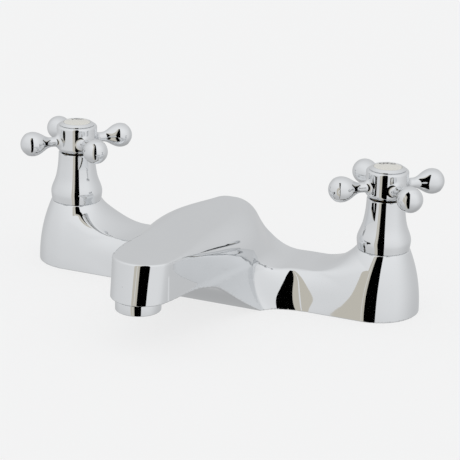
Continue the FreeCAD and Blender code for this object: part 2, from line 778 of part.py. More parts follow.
def spindle(side, sign):
    """Brass spindle: tang, stop lugs, seal grooves, clip groove, splined head and tapped end."""
    groove = d.circlip_thickness + d.fit_gap * 2
    half_groove = d.seal_groove_width / 2
    clip_floor = d.spindle_radius - d.circlip_groove_depth
    spline_foot = neck_groove_foot + groove + d.overrun
    body = turned(f"spindle_{side}", [
        (ZERO, driver_top),
        (piece_radius, driver_top),
        (piece_radius, spindle_flange_top),
        (d.lug_radius, spindle_flange_top),
        (d.lug_radius, washer_foot),
        (d.spindle_radius, washer_foot),
        (d.spindle_radius, d.lower_seal_height - half_groove),
        (d.seal_groove_radius, d.lower_seal_height - half_groove),
        (d.seal_groove_radius, d.lower_seal_height + half_groove),
        (d.spindle_radius, d.lower_seal_height + half_groove),
        (d.spindle_radius, d.upper_seal_height - half_groove),
        (d.seal_groove_radius, d.upper_seal_height - half_groove),
        (d.seal_groove_radius, d.upper_seal_height + half_groove),
        (d.spindle_radius, d.upper_seal_height + half_groove),
        (d.spindle_radius, neck_groove_foot),
        (clip_floor, neck_groove_foot),
        (clip_floor, neck_groove_foot + groove),
        (d.spindle_radius, neck_groove_foot + groove),
        (d.spindle_radius, spline_foot),
        (d.spline_radius, spline_foot),
        (d.spline_radius, spindle_top),
        (d.screw_thread_radius, spindle_top),
        (d.screw_thread_radius, spindle_top - d.screw_length),
        (ZERO, spindle_top - d.screw_length),
    ])
    blade = rectangle(piece_radius * math.cos(math.radians(TANG_CORNER_ANGLE)), d.tang_width / 2)
    tang_foot = driver_top - d.tang_depth + d.fit_gap
    tang = add_sketch(body, f"tang_{side}", "XY_Plane", blade, tang_foot)
    pad(body, f"tang_pad_{side}", tang, d.tang_depth - d.fit_gap)
    lug = sector(d.lug_radius - d.fit_gap * 2, piece_radius, STOP_LUG_ANGLE * sign, STOP_LAND_ANGLE)
    lugs = add_sketch(body, f"lug_{side}", "XY_Plane", lug, spindle_flange_top)
    first = pad(body, f"lug_pad_{side}", lugs, d.lug_height - d.fit_gap * 4)
    polar(body, f"lugs_{side}", [first], 2)
    half_notch = math.pi / SPLINE_COUNT * NOTCH_SHARE
    root = d.spline_radius - d.spline_depth
    rim = d.spline_radius + d.fit_gap * 2
    notch = [
        (root, ZERO),
        (rim * math.cos(half_notch), -rim * math.sin(half_notch)),
        (rim * math.cos(half_notch), rim * math.sin(half_notch)),
    ]
    notches = add_sketch(body, f"notch_{side}", "XY_Plane", notch, spline_foot)
    cut = pocket(body, f"notch_cut_{side}", notches, spindle_top - spline_foot)
    polar(body, f"splines_{side}", [cut], SPLINE_COUNT)
    return body


def shroud(side):
    """Chromed bell over the cartridge, seated on the casting."""
    wall = d.shroud_wall
    inner_band = d.shroud_band_radius - wall - d.loose_gap
    band_top = d.boss_height + d.shroud_band_height
    bend = d.boss_height + d.shroud_bend_height
    collar = d.neck_radius + d.loose_gap
    collar_top = neck_top - d.overrun
    collar_foot = collar_top - d.shroud_collar_height
    return turned(f"shroud_{side}", [
        (d.shroud_foot_radius, d.boss_height),
        (d.shroud_band_radius, d.boss_height + d.overrun * 2),
        (d.shroud_band_radius, band_top),
        (d.shroud_bend_half_width, bend, d.shroud_swell_radius, 1),
        (d.shroud_neck_half_width, d.boss_height + d.shroud_neck_height, d.shroud_sweep_radius, -1),
        (d.shroud_top_radius, shroud_top),
        (d.shroud_top_radius - wall, shroud_top),
        (d.shroud_top_radius - wall, collar_top),
        (collar, collar_top),
        (collar, collar_foot),
        (d.shroud_neck_half_width - wall + d.loose_gap, collar_foot - d.overrun),
        (d.shroud_bend_half_width - wall, bend),
        (inner_band, band_top),
        (inner_band, d.boss_height),
    ])


def cross_handle(side):
    """Handle cast in one piece: a hub and four arms that end in balls."""
    edge = d.hub_edge_radius
    body = turned(f"cross_handle_{side}", [
        (d.spline_radius + d.fit_gap, handle_foot),
        (d.handle_foot_radius, handle_foot),
        (d.hub_radius, handle_foot + d.hub_widest, d.hub_radius, -1),
        (d.hub_radius, hub_top - edge),
        (d.hub_radius - edge, hub_top, edge, 1),
        (d.index_pocket_radius, hub_top),
        (d.index_pocket_radius, index_floor),
        (d.head_pocket_radius, index_floor),
        (d.head_pocket_radius, web_top),
        (d.screw_thread_radius + d.fit_gap * 2, web_top),
        (d.screw_thread_radius + d.fit_gap * 2, web_foot),
        (d.spline_radius + d.fit_gap, web_foot),
    ])
    root_reach = d.hub_radius - d.hub_edge_radius
    straight = d.hub_radius + d.arm_radius
    level = math.sqrt(1 - BALL_TOUCH_SHARE**2)
    touch_reach = d.arm_reach - d.ball_radius * BALL_TOUCH_SHARE
    points = [
        (root_reach, arm_height),
        (root_reach, arm_height + d.arm_root_radius),
        (straight, arm_height + d.arm_radius, d.arm_root_radius, 1),
        (d.arm_waist_reach, arm_height + d.arm_radius),
        (touch_reach, arm_height + d.ball_radius * level, d.ball_radius, 1),
        (d.arm_reach + d.ball_radius, arm_height, d.ball_radius, -1),
    ]
    sketch = add_sketch(body, f"arm_{side}", "XZ_Plane", points)
    axis = Part.LineSegment(vertex(ZERO, arm_height), vertex(d.arm_reach, arm_height))
    line = sketch.addGeometry(axis, True)
    pin_point(sketch, line, 1, ZERO, arm_height)
    pin_point(sketch, line, 2, d.arm_reach, arm_height)
    arm = revolve(body, f"arm_turning_{side}", sketch, "Axis0")
    polar(body, f"arms_{side}", [arm], ARM_COUNT)
    return body


def handle_screw(side):
    """Screw that holds the handle down on the spindle."""
    body = turned(f"handle_screw_{side}", [
        (ZERO, web_top - d.screw_length),
        (d.screw_thread_radius - d.fit_gap, web_top - d.screw_length),
        (d.screw_thread_radius - d.fit_gap, web_top),
        (d.screw_head_radius, web_top),
        (d.screw_head_radius, web_top + d.screw_head_height),
        (ZERO, web_top + d.screw_head_height),
    ])
    half_width = d.circlip_groove_depth / 2
    arm = d.screw_head_radius * RECESS_ARM_SHARE
    floor = web_top + d.screw_head_height / 2
    for name, outline in (("slot_x", rectangle(arm, half_width)), ("slot_y", rectangle(half_width, arm))):
        sketch = add_sketch(body, f"{name}_{side}", "XY_Plane", outline, floor)
        pocket(body, f"{name}_cut_{side}", sketch, d.screw_head_height / 2)
    return body


def index_bezel(side):
    """Chromed cap ring pressed into the hub, which frames the index."""
    skirt = d.index_pocket_radius - d.fit_gap
    seat = d.index_radius - d.overrun
    top = hub_top + d.bezel_height
    floor = top - d.index_thickness
    return turned(f"index_bezel_{side}", [
        (seat, hub_top - d.bezel_skirt_depth),
        (skirt, hub_top - d.bezel_skirt_depth),
        (skirt, hub_top),
        (d.bezel_radius, hub_top),
        (d.index_radius + d.loose_gap * 2, top, d.bezel_radius - d.index_radius, 1),
        (d.index_radius + d.fit_gap, top),
        (d.index_radius + d.fit_gap, floor),
        (seat, floor),
    ])


def index_disc(side):
    """Glazed index with a low crown."""
    top = hub_top + d.bezel_height
    crown_radius = (d.index_radius * d.index_radius + d.index_crown * d.index_crown) / (d.index_crown * 2)
    return turned(f"index_disc_{side}", [
        (ZERO, top - d.index_thickness),
        (d.index_radius, top - d.index_thickness),
        (d.index_radius, top),
        (ZERO, top + d.index_crown, crown_radius, 1),
    ])


def washer(label, inner, outer, foot, thickness):
    """A flat ring."""
    top = foot + thickness
    return turned(label, [(inner, foot), (outer, foot), (outer, top), (inner, top)])


def circlip(side):
    """Open spring ring in the spindle's groove, on top of the neck."""
    inner = d.spindle_radius - d.circlip_groove_depth + d.fit_gap
    foot = neck_groove_foot + d.fit_gap
    body = washer(f"circlip_{side}", inner, inner + d.circlip_width, foot, d.circlip_thickness)
    outside = inner + d.circlip_width + d.overrun
    opening = [
        (ZERO, -d.circlip_width),
        (outside, -d.circlip_width),
        (outside, d.circlip_width),
        (ZERO, d.circlip_width),
    ]
    gap = add_sketch(body, f"clip_opening_{side}", "XY_Plane", opening, foot)
    pocket(body, f"circlip_gap_{side}", gap, d.circlip_thickness)
    return body


pieces = [casting]
for side, sign in (("hot", -1), ("cold", 1)):
    groove_radius = (d.barrel_radius + d.chamber_radius) / 2
    groove_half_width = (d.chamber_radius - d.barrel_radius) / 2
    groove_middle = d.boss_height - d.seal_groove_height / 2
    seal = ring(f"body_o_ring_{side}", groove_radius, groove_half_width - d.fit_gap, groove_middle)
    wire = (journal_bore - d.seal_groove_radius) / 2 - d.fit_gap
    middle = (journal_bore + d.seal_groove_radius) / 2
    lower_ring = ring(f"lower_o_ring_{side}", middle, wire, d.lower_seal_height)
    upper_ring = ring(f"upper_o_ring_{side}", middle, wire, d.upper_seal_height)
    pair = doc.addObject("Part::Compound", f"spindle_o_rings_{side}")
    pair.Links = [lower_ring, upper_ring]
    seat_bore, seat_thickness = d.seat_seal_bore_radius, d.seat_seal_thickness
    friction = d.washer_thickness - d.fit_gap
    standing = [
        shroud(side),
        cartridge_body(side),
        seal,
        washer(f"seat_seal_{side}", seat_bore, piece_radius, d.seat_height, seat_thickness),
        fixed_disc(side),
        moving_disc(side),
        disc_driver(side),
        spindle(side, -sign),
        washer(f"friction_washer_{side}", journal_bore, piece_radius, washer_foot, friction),
        pair,
        circlip(side),
        index_bezel(side),
        index_disc(side),
        handle_screw(side),
    ]
    for piece in standing:
        at_height = groove_middle if piece is seal else None
        place(piece, half_centres * sign, None, at_height)
    handle = cross_handle(side)
    place(handle, half_centres * sign, turn=HANDLE_REST_ANGLES[side])
    pieces += standing + [handle]


def aerator():
    """Screwed outlet ring, its flow insert and its seal."""
    thread = d.outlet_radius - d.fit_gap
    seal_foot = d.nose_underside + d.outlet_depth - d.aerator_seal_thickness
    ledge = d.aerator_foot + d.shroud_wall
    housing = turned("aerator_housing", [
        (d.aerator_bore_radius - d.overrun, d.aerator_foot),
        (d.aerator_rim_radius - d.loose_gap, d.aerator_foot),
        (d.aerator_rim_radius, d.aerator_foot + d.loose_gap),
        (d.aerator_rim_radius, d.nose_underside),
        (thread, d.nose_underside),
        (thread, seal_foot),
        (d.aerator_bore_radius, seal_foot),
        (d.aerator_bore_radius, ledge),
        (d.aerator_bore_radius - d.overrun, ledge),
    ])
    outer = d.aerator_bore_radius - d.fit_gap
    insert = turned("aerator_insert", [
        (ZERO, ledge),
        (outer, ledge),
        (outer, ledge + d.aerator_insert_height),
        (ZERO, ledge + d.aerator_insert_height),
    ])
    sketch = add_circle(insert, "channel", d.aerator_channel_radius, ledge, outer * CHANNEL_RING_SHARE)
    channel = pocket(insert, "channel_cut", sketch, d.aerator_insert_height)
    polar(insert, "channels", [channel], CHANNEL_COUNT)
    seal = washer("aerator_seal", d.spout_bore_radius, thread, seal_foot, d.aerator_seal_thickness)
    return [housing, insert, seal]


for piece in aerator():
    place(piece, None, -d.outlet_reach)
    pieces.append(piece)

doc.recompute()

faults = [item.Name for item in doc.Objects if "Invalid" in item.State or "Error" in item.State]
for piece in pieces:
    piece.Label = piece.Name
    if piece.Shape.isNull() or not piece.Shape.isValid() or not piece.Shape.Solids:
        faults.append(piece.Label)
if faults:
    raise RuntimeError(f"These did not build: {sorted(set(faults))}")

os.makedirs("parts", exist_ok=True)
for piece in pieces:
    piece.Shape.exportStep(f"parts/{piece.Label}.step")
    print(piece.Label, len(piece.Shape.Solids), round(piece.Shape.Volume, 1))
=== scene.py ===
"""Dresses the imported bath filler: polished castings, valve pieces, studio and camera."""

from __future__ import annotations

import logging
import math
from dataclasses import dataclass, field
from enum import Enum
from typing import Callable, Sequence

import bpy
import numpy as np
from mathutils import Matrix, Vector

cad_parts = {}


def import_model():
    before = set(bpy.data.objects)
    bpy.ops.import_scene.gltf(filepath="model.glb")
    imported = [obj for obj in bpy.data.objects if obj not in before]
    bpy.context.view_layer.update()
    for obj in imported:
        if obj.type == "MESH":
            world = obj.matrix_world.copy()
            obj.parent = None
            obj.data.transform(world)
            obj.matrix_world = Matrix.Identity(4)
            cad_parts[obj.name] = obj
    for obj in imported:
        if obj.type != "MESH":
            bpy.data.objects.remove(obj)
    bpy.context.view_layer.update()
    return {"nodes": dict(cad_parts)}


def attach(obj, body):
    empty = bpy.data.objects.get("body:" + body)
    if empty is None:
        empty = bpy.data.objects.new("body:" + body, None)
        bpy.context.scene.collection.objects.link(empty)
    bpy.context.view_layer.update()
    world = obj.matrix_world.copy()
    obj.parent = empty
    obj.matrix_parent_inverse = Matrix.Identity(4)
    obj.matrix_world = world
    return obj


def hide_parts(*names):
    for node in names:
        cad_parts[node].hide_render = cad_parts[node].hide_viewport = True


log = logging.getLogger("bath_filler")

MM = 0.001
SIDES = ("hot", "cold")
SQUARE = ((-1, -1), (1, -1), (1, 1), (-1, 1))

# Guards against a division by nothing where two surfaces run alike or a slope dies out.
TINY = 1e-6
COSINE_RANGE = (-0.95, 0.999)
LEAST_UPWARD = 1e-3

# A share squared times what is left of it peaks at 4/27; this brings that peak to 1.
LATE_SCALE = 27 / 4


# Shader maths


class Maths(Enum):
    """Operations of the Math node that Python's operators stand for."""

    ADD = "ADD"
    SUBTRACT = "SUBTRACT"
    MULTIPLY = "MULTIPLY"


def operator(operation: Maths, swapped: bool = False) -> Callable[["Wire", object], "Wire"]:
    """Makes one operator of a wire.

    Args:
        operation: What its Math node does.
        swapped: Whether the wire stands on the right.

    Returns:
        The method.
    """

    def method(wire: "Wire", other: object) -> "Wire":
        """Adds the Math node.

        Args:
            wire: The wire.
            other: A number or a wire.

        Returns:
            The node's result.
        """
        first, second = (other, wire) if swapped else (wire, other)
        return wire.graph.add("ShaderNodeMath", {"operation": operation.value}, {0: first, 1: second})

    return method


@dataclass(frozen=True)
class Wire:
    """One value socket, with Python's operators as Math nodes."""

    graph: "Graph"
    socket: bpy.types.NodeSocket

    __add__ = operator(Maths.ADD)
    __radd__ = operator(Maths.ADD, swapped=True)
    __sub__ = operator(Maths.SUBTRACT)
    __rsub__ = operator(Maths.SUBTRACT, swapped=True)
    __mul__ = operator(Maths.MULTIPLY)
    __rmul__ = operator(Maths.MULTIPLY, swapped=True)

    def band(self, low: float, high: float) -> "Wire":
        """Smooth step from 0 at low to 1 at high.

        Args:
            low: Where the step starts.
            high: Where it ends.

        Returns:
            The stepped value.
        """
        settings = {"interpolation_type": "SMOOTHSTEP"}
        inputs = {"Value": self, "From Min": low, "From Max": high}
        return self.graph.add("ShaderNodeMapRange", settings, inputs)


class Graph:
    """One node tree that is built from the shader outwards."""

    COLOUR_INPUTS = (0, 6, 7)
    COLOUR_OUTPUT = 2

    def __init__(self, tree: bpy.types.NodeTree) -> None:
        """Empties the tree.

        Args:
            tree: A material's or the world's node tree.
        """
        self.tree = tree
        tree.nodes.clear()

    def node(self, kind: str, settings: dict | None = None, inputs: dict | None = None) -> bpy.types.Node:
        """Adds a node, sets it up, then feeds its sockets.

        Args:
            kind: The node's type.
            settings: Its own settings, set first.
            inputs: Values or wires by socket name or number.

        Returns:
            The node.
        """
        node = self.tree.nodes.new(kind)
        for name, value in (settings or {}).items():
            setattr(node, name, value)
        for name, value in (inputs or {}).items():
            self.feed(node.inputs[name], value)
        return node

    def add(
        self, kind: str, settings: dict | None = None, inputs: dict | None = None, output: object = 0
    ) -> Wire:
        """Adds a node for one of its outputs.

        Args:
            kind: The node's type.
            settings: Its own settings, set first.
            inputs: Values or wires by socket name or number.
            output: The name or number of the socket to return.

        Returns:
            The chosen output.
        """
        return Wire(self, self.node(kind, settings, inputs).outputs[output])

    def feed(self, socket: bpy.types.NodeSocket, value: object) -> None:
        """Links a wire to a socket, or sets the socket's own value.

        Args:
            socket: The socket.
            value: A wire or a constant.
        """
        if isinstance(value, Wire):
            self.tree.links.new(value.socket, socket)
        else:
            socket.default_value = value

    def blend(self, factor: object, first: object, second: object) -> Wire:
        """Mixes two colours.

        Args:
            factor: 0 for the first, 1 for the second.
            first: A colour or a wire.
            second: A colour or a wire.

        Returns:
            The mixed colour.
        """
        inputs = dict(zip(self.COLOUR_INPUTS, (factor, first, second)))
        return self.add("ShaderNodeMix", {"data_type": "RGBA"}, inputs, self.COLOUR_OUTPUT)

    def noise(
        self, scale: float, detail: float = 2.0, roughness: float = 0.5, stretch: tuple | None = None
    ) -> Wire:
        """Noise over the surface.

        Args:
            scale: Features per metre.
            detail: Octaves.
            roughness: Weight of the fine octaves.
            stretch: Scale along each axis, where the noise is drawn out.

        Returns:
            Noise around 0.5.
        """
        place = self.add("ShaderNodeTexCoord", output="Object")
        if stretch is not None:
            place = self.add("ShaderNodeMapping", inputs={"Vector": place, "Scale": stretch})
        inputs = {"Vector": place, "Scale": scale, "Detail": detail, "Roughness": roughness}
        return self.add("ShaderNodeTexNoise", inputs=inputs)

    def bump(self, height: Wire, strength: float, distance: float) -> Wire:
        """A bumped normal.

        Args:
            height: The relief.
            strength: How much of it shows.
            distance: Its depth in metres.

        Returns:
            The normal.
        """
        inputs = {"Height": height, "Strength": strength, "Distance": distance}
        return self.add("ShaderNodeBump", inputs=inputs)

    def close(self, kind: str, shader: Wire) -> None:
        """Adds the tree's output node and feeds its surface.

        Args:
            kind: The output node's type.
            shader: What the surface shows.
        """
        self.node(kind, inputs={"Surface": shader})


def rgba(red: float, green: float, blue: float) -> tuple[float, float, float, float]:
    """An opaque colour.

    Args:
        red: Red from 0 to 1.
        green: Green from 0 to 1.
        blue: Blue from 0 to 1.

    Returns:
        The colour with full alpha.
    """
    return (red, green, blue, 1.0)


@dataclass(frozen=True)
class Finish:
    """A surface finish; its subclasses say how its shader varies."""

    name: str
    colour: tuple[float, float, float]
    roughness: float

    def surface(self, graph: Graph) -> dict:
        """Inputs of the surface shader.

        Args:
            graph: The material's node tree.

        Returns:
            Values and wires by socket name.
        """
        return {"Base Color": rgba(*self.colour), "Roughness": self.roughness}

    def shade(self, share: float) -> tuple[float, float, float, float]:
        """The finish's colour made darker or lighter.

        Args:
            share: Factor on each channel.

        Returns:
            The colour.
        """
        return rgba(*(min(channel * share, 1.0) for channel in self.colour))

    def material(self) -> bpy.types.Material:
        """The finish's material, made once.

        Returns:
            The material.
        """
        found = bpy.data.materials.get(self.name)
        if found is not None:
            return found
        made = bpy.data.materials.new(self.name)
        made.use_nodes = True
        graph = Graph(made.node_tree)
        shader = graph.add("ShaderNodeBsdfPrincipled", inputs=self.surface(graph))
        graph.close("ShaderNodeOutputMaterial", shader)
        return made


@dataclass(frozen=True)
class Plated(Finish):
    """Bright plate: faint waviness from polishing, wipe marks and water spots."""

    wave: float = 0.35
    marks: float = 0.05

    def surface(self, graph: Graph) -> dict:
        """Inputs of the surface shader: see Finish."""
        haze = graph.noise(scale=38.0, detail=3.0, roughness=0.6)
        wipes = graph.noise(scale=90.0, detail=4.0, roughness=0.65, stretch=(1.0, 0.25, 3.0))
        spots = graph.noise(scale=900.0).band(0.68, 0.76)
        rough = self.roughness + haze.band(0.45, 0.75) * (self.marks * 0.6)
        rough = rough + wipes.band(0.55, 0.8) * (self.marks * 0.4)
        return {
            "Base Color": graph.blend(haze.band(0.3, 0.7) * 0.5, rgba(*self.colour), self.shade(0.975)),
            "Metallic": 1.0,
            "Roughness": rough + spots * (self.marks * 0.5),
            "Normal": graph.bump(graph.noise(scale=120.0, detail=1.0), self.wave, distance=0.00002),
        }


@dataclass(frozen=True)
class Turned(Finish):
    """Machined metal: fine rings from the lathe and slight staining."""

    def surface(self, graph: Graph) -> dict:
        """Inputs of the surface shader: see Finish."""
        rings = graph.noise(scale=30.0, detail=3.0, roughness=0.7, stretch=(2.0, 2.0, 160.0))
        stain = graph.noise(scale=160.0, detail=4.0, roughness=0.6).band(0.4, 0.75)
        return {
            "Base Color": graph.blend(stain * 0.6, rgba(*self.colour), self.shade(0.78)),
            "Metallic": 1.0,
            "Roughness": self.roughness + stain * 0.1 + rings * 0.12,
            "Normal": graph.bump(rings, strength=0.25, distance=0.00003),
        }


@dataclass(frozen=True)
class Moulded(Finish):
    """Rubber or plastic: fine grain and a slight bloom."""

    grain: float = 0.25

    def surface(self, graph: Graph) -> dict:
        """Inputs of the surface shader: see Finish."""
        grain = graph.noise(scale=1800.0, detail=3.0, roughness=0.6)
        bloom = graph.noise(scale=140.0, detail=3.0, roughness=0.6).band(0.4, 0.8)
        light = rgba(*(min(channel * 1.15 + 0.01, 1.0) for channel in self.colour))
        return {
            "Base Color": graph.blend(bloom * 0.6, rgba(*self.colour), light),
            "Roughness": self.roughness + bloom * 0.1,
            "Normal": graph.bump(grain, self.grain, distance=0.00003),
        }


@dataclass(frozen=True)
class Glazed(Finish):
    """Glazed ceramic: a clear coat over a warm body with faint mottling and fine specks."""

    speck: tuple[float, float, float] = (0.35, 0.3, 0.22)

    def surface(self, graph: Graph) -> dict:
        """Inputs of the surface shader: see Finish."""
        mottle = graph.noise(scale=240.0, detail=3.0, roughness=0.55).band(0.3, 0.75)
        specks = graph.noise(scale=2600.0, detail=1.0).band(0.74, 0.8)
        warm = graph.blend(mottle * 0.5, rgba(*self.colour), self.shade(0.95))
        return {
            "Base Color": graph.blend(specks * 0.35, warm, rgba(*self.speck)),
            "Roughness": self.roughness + mottle * 0.06,
            "Coat Weight": 0.6,
            "Coat Roughness": 0.04,
            "Normal": graph.bump(mottle, strength=0.2, distance=0.00002),
        }


CHROME = Plated("bright_plate", (0.80, 0.81, 0.82), 0.02)
BRASS = Turned("turned_brass", (0.78, 0.6, 0.31), 0.24)
STEEL = Turned("turned_steel", (0.6, 0.6, 0.61), 0.28)
RUBBER = Moulded("black_rubber", (0.02, 0.02, 0.022), 0.55)
NYLON = Moulded("white_nylon", (0.72, 0.71, 0.68), 0.42)
ALUMINA = Glazed("lapped_alumina", (0.86, 0.84, 0.8), 0.18)
PORCELAIN = Glazed("cream_glaze", (0.80, 0.78, 0.71), 0.16)
ENAMEL = Moulded("dark_enamel", (0.03, 0.03, 0.035), 0.35)

ROUND_LEFT = [(0.5, 1), (0.2, 1), (0, 0.75), (0, 0.25), (0.2, 0), (0.5, 0)]
STROKES = {
    "h": [[(0, 0), (0, 1)], [(0.7, 0), (0.7, 1)], [(0, 0.5), (0.7, 0.5)]],
    "o": [[*ROUND_LEFT, (0.7, 0.25), (0.7, 0.75), (0.5, 1)]],
    "t": [[(0, 1), (0.7, 1)], [(0.35, 1), (0.35, 0)]],
    "c": [[(0.7, 0.8), *ROUND_LEFT, (0.7, 0.2)]],
    "l": [[(0, 1), (0, 0), (0.65, 0)]],
    "d": [[(0, 0), (0, 1), (0.4, 1), (0.7, 0.7), (0.7, 0.3), (0.4, 0), (0, 0)]],
}
LETTER_MIDDLE = (0.35, 0.5)
BOX_FACES = ((0, 1, 5, 4), (1, 2, 6, 5), (2, 3, 7, 6), (3, 0, 4, 7), (4, 5, 6, 7), (3, 2, 1, 0))


# Meshes


@dataclass
class Skin:
    """A mesh that is still numbers: corners in millimetres, faces and, where known, normals."""

    points: np.ndarray
    faces: Sequence[Sequence[int]]
    normals: np.ndarray | None = None

    def turned(self, degrees: float) -> "Skin":
        """The same skin turned about its upright axis.

        Args:
            degrees: The turn, anticlockwise from above.

        Returns:
            The turned skin.
        """
        cosine, sine = math.cos(math.radians(degrees)), math.sin(math.radians(degrees))
        turn = np.array([[cosine, -sine, 0], [sine, cosine, 0], [0, 0, 1]])
        normals = None if self.normals is None else self.normals @ turn.T
        return Skin(self.points @ turn.T, self.faces, normals)

    def moved(self, x: float, y: float, z: float) -> "Skin":
        """The same skin moved by millimetres.

        Args:
            x: Distance to the cold side.
            y: Distance to the rear.
            z: Distance upwards.

        Returns:
            The moved skin.
        """
        return Skin(self.points + np.array([x, y, z]), self.faces, self.normals)

    def piece(self, name: str, finish: Finish, crease: float = 35.0) -> bpy.types.Object:
        """Makes the Blender object.

        Args:
            name: The object's name.
            finish: Its finish.
            crease: Angle in degrees above which an edge stays sharp.

        Returns:
            The object, linked to the scene.
        """
        mesh = bpy.data.meshes.new(name)
        mesh.from_pydata((self.points * MM).tolist(), [], [list(face) for face in self.faces])
        mesh.validate(clean_customdata=False)
        mesh.polygons.foreach_set("use_smooth", [True] * len(mesh.polygons))
        if self.normals is None:
            mesh.set_sharp_from_angle(angle=math.radians(crease))
        elif len(mesh.vertices) == len(self.normals):
            mesh.normals_split_custom_set_from_vertices(self.normals.tolist())
        mesh.materials.append(finish.material())
        mesh.update()
        made = bpy.data.objects.new(name, mesh)
        bpy.context.scene.collection.objects.link(made)
        return made


def arc(
    centre: Sequence[float], radius: float, start: float, end: float, steps: int
) -> list[tuple[float, float]]:
    """Points along an arc.

    Args:
        centre: Its centre.
        radius: Its radius.
        start: Its first angle in degrees.
        end: Its last angle in degrees.
        steps: Number of spans.

    Returns:
        The points, both ends included.
    """
    angles = np.radians(np.linspace(start, end, steps + 1))
    return [(centre[0] + radius * math.cos(a), centre[1] + radius * math.sin(a)) for a in angles]


def spline(stations: Sequence[tuple[float, float]]) -> Callable[[np.ndarray], np.ndarray]:
    """A smooth curve through stations, straight beyond its ends.

    Args:
        stations: (place, value) pairs in rising order of place.

    Returns:
        A function of place.
    """
    x, y = np.array(stations, float).T
    count = len(x)
    step = np.diff(x)
    slope = np.diff(y) / step
    matrix = np.eye(count)
    right = np.zeros(count)
    for n in range(1, count - 1):
        matrix[n, n - 1:n + 2] = (step[n - 1], 2 * (step[n - 1] + step[n]), step[n])
        right[n] = 6 * (slope[n] - slope[n - 1])
    bend = np.linalg.solve(matrix, right)

    def curve(place: np.ndarray) -> np.ndarray:
        """Value of the curve.

        Args:
            place: One or many places.

        Returns:
            The value at each.
        """
        inside = np.clip(place, x[0], x[-1])
        n = np.clip(np.searchsorted(x, inside) - 1, 0, count - 2)
        a, b, width = x[n + 1] - inside, inside - x[n], step[n]
        value = (bend[n] * a**3 + bend[n + 1] * b**3) / (6 * width)
        value += (y[n] / width - bend[n] * width / 6) * a + (y[n + 1] / width - bend[n + 1] * width / 6) * b
        first = slope[0] - bend[1] * step[0] / 6
        last = slope[-1] + bend[-2] * step[-1] / 6
        return value + np.minimum(place - x[0], 0) * first + np.maximum(place - x[-1], 0) * last

    return curve


def smooth_step(value: np.ndarray, low: float, high: float) -> np.ndarray:
    """A smooth step.

    Args:
        value: Where it is taken.
        low: Place of 0, also beyond it.
        high: Place of 1, also beyond it.

    Returns:
        The step's height.
    """
    t = np.clip((value - low) / (high - low), 0.0, 1.0)
    return t * t * (3 - 2 * t)


def round_join(first: np.ndarray, second: np.ndarray, radius: object) -> np.ndarray:
    """Union of two distance fields with a concave fillet.

    Args:
        first: The first field.
        second: The second field.
        radius: Radius of the fillet.

    Returns:
        The joined field.
    """
    near = np.hypot(np.maximum(radius - first, 0), np.maximum(radius - second, 0))
    return np.maximum(np.minimum(first, second), radius) - near


def round_cut(first: np.ndarray, second: np.ndarray, radius: object) -> np.ndarray:
    """Intersection of two distance fields with a rounded edge.

    Args:
        first: The first field.
        second: The second field.
        radius: Radius of the edge.

    Returns:
        The cut field.
    """
    near = np.hypot(np.maximum(radius + first, 0), np.maximum(radius + second, 0))
    return np.minimum(np.maximum(first, second), -np.asarray(radius)) + near


def corner_cut(first: np.ndarray, second: np.ndarray, radius: object, cosine: np.ndarray) -> np.ndarray:
    """Intersection of two distance fields at any angle with a rolling-ball edge.

    Args:
        first: The first field.
        second: The second field.
        radius: Radius of the edge.
        cosine: Cosine of the angle between the two fields' directions.

    Returns:
        The cut field.
    """
    one, two = first + radius, second + radius
    cosine = np.clip(cosine, *COSINE_RANGE)
    far = np.sqrt(np.maximum(one * one + two * two - 2 * cosine * one * two, 0) / (1 - cosine * cosine))
    rounded = (one > cosine * two) & (two > cosine * one)
    return np.where(rounded, far - radius, np.maximum(first, second))


def sweep_join(first: np.ndarray, second: np.ndarray, run: object, rise: float) -> np.ndarray:
    """Union of two distance fields with an elliptical fillet.

    Args:
        first: The first field.
        second: The second field.
        run: Distance from the first surface at which the fillet meets the second.
        rise: Distance from the second surface at which it meets the first.

    Returns:
        The joined field.
    """
    u = np.clip(1 - first / run, 0, None)
    v = np.clip(1 - second / rise, 0, None)
    far = np.maximum(np.hypot(u, v), TINY)
    slope = np.hypot(u / run, v / rise) / far
    return np.where((u == 0) & (v == 0), np.minimum(first, second), (1 - far) / np.maximum(slope, TINY))


@dataclass
class Lathe:
    """A turned piece: a closed or open outline of (radius, height) points in millimetres."""

    outline: list[tuple[float, float]]
    segments: int = 160

    def skin(self) -> Skin:
        """Turns the outline into a skin.

        Returns:
            The skin about the upright axis.
        """
        points: list[tuple[float, float, float]] = []
        rings: list[list[int]] = []
        angles = np.linspace(0, 2 * math.pi, self.segments, endpoint=False)
        for radius, height in self.outline:
            if radius < TINY:
                rings.append([len(points)] * self.segments)
                points.append((0.0, 0.0, height))
            else:
                rings.append(list(range(len(points), len(points) + self.segments)))
                points += [(radius * math.cos(a), radius * math.sin(a), height) for a in angles]
        faces = []
        for lower, upper in zip(rings, rings[1:] + rings[:1]):
            if lower[0] == lower[1] and upper[0] == upper[1]:
                continue
            for n in range(self.segments):
                m = (n + 1) % self.segments
                faces.append(list(dict.fromkeys([lower[n], lower[m], upper[m], upper[n]])))
        return Skin(np.array(points), faces)


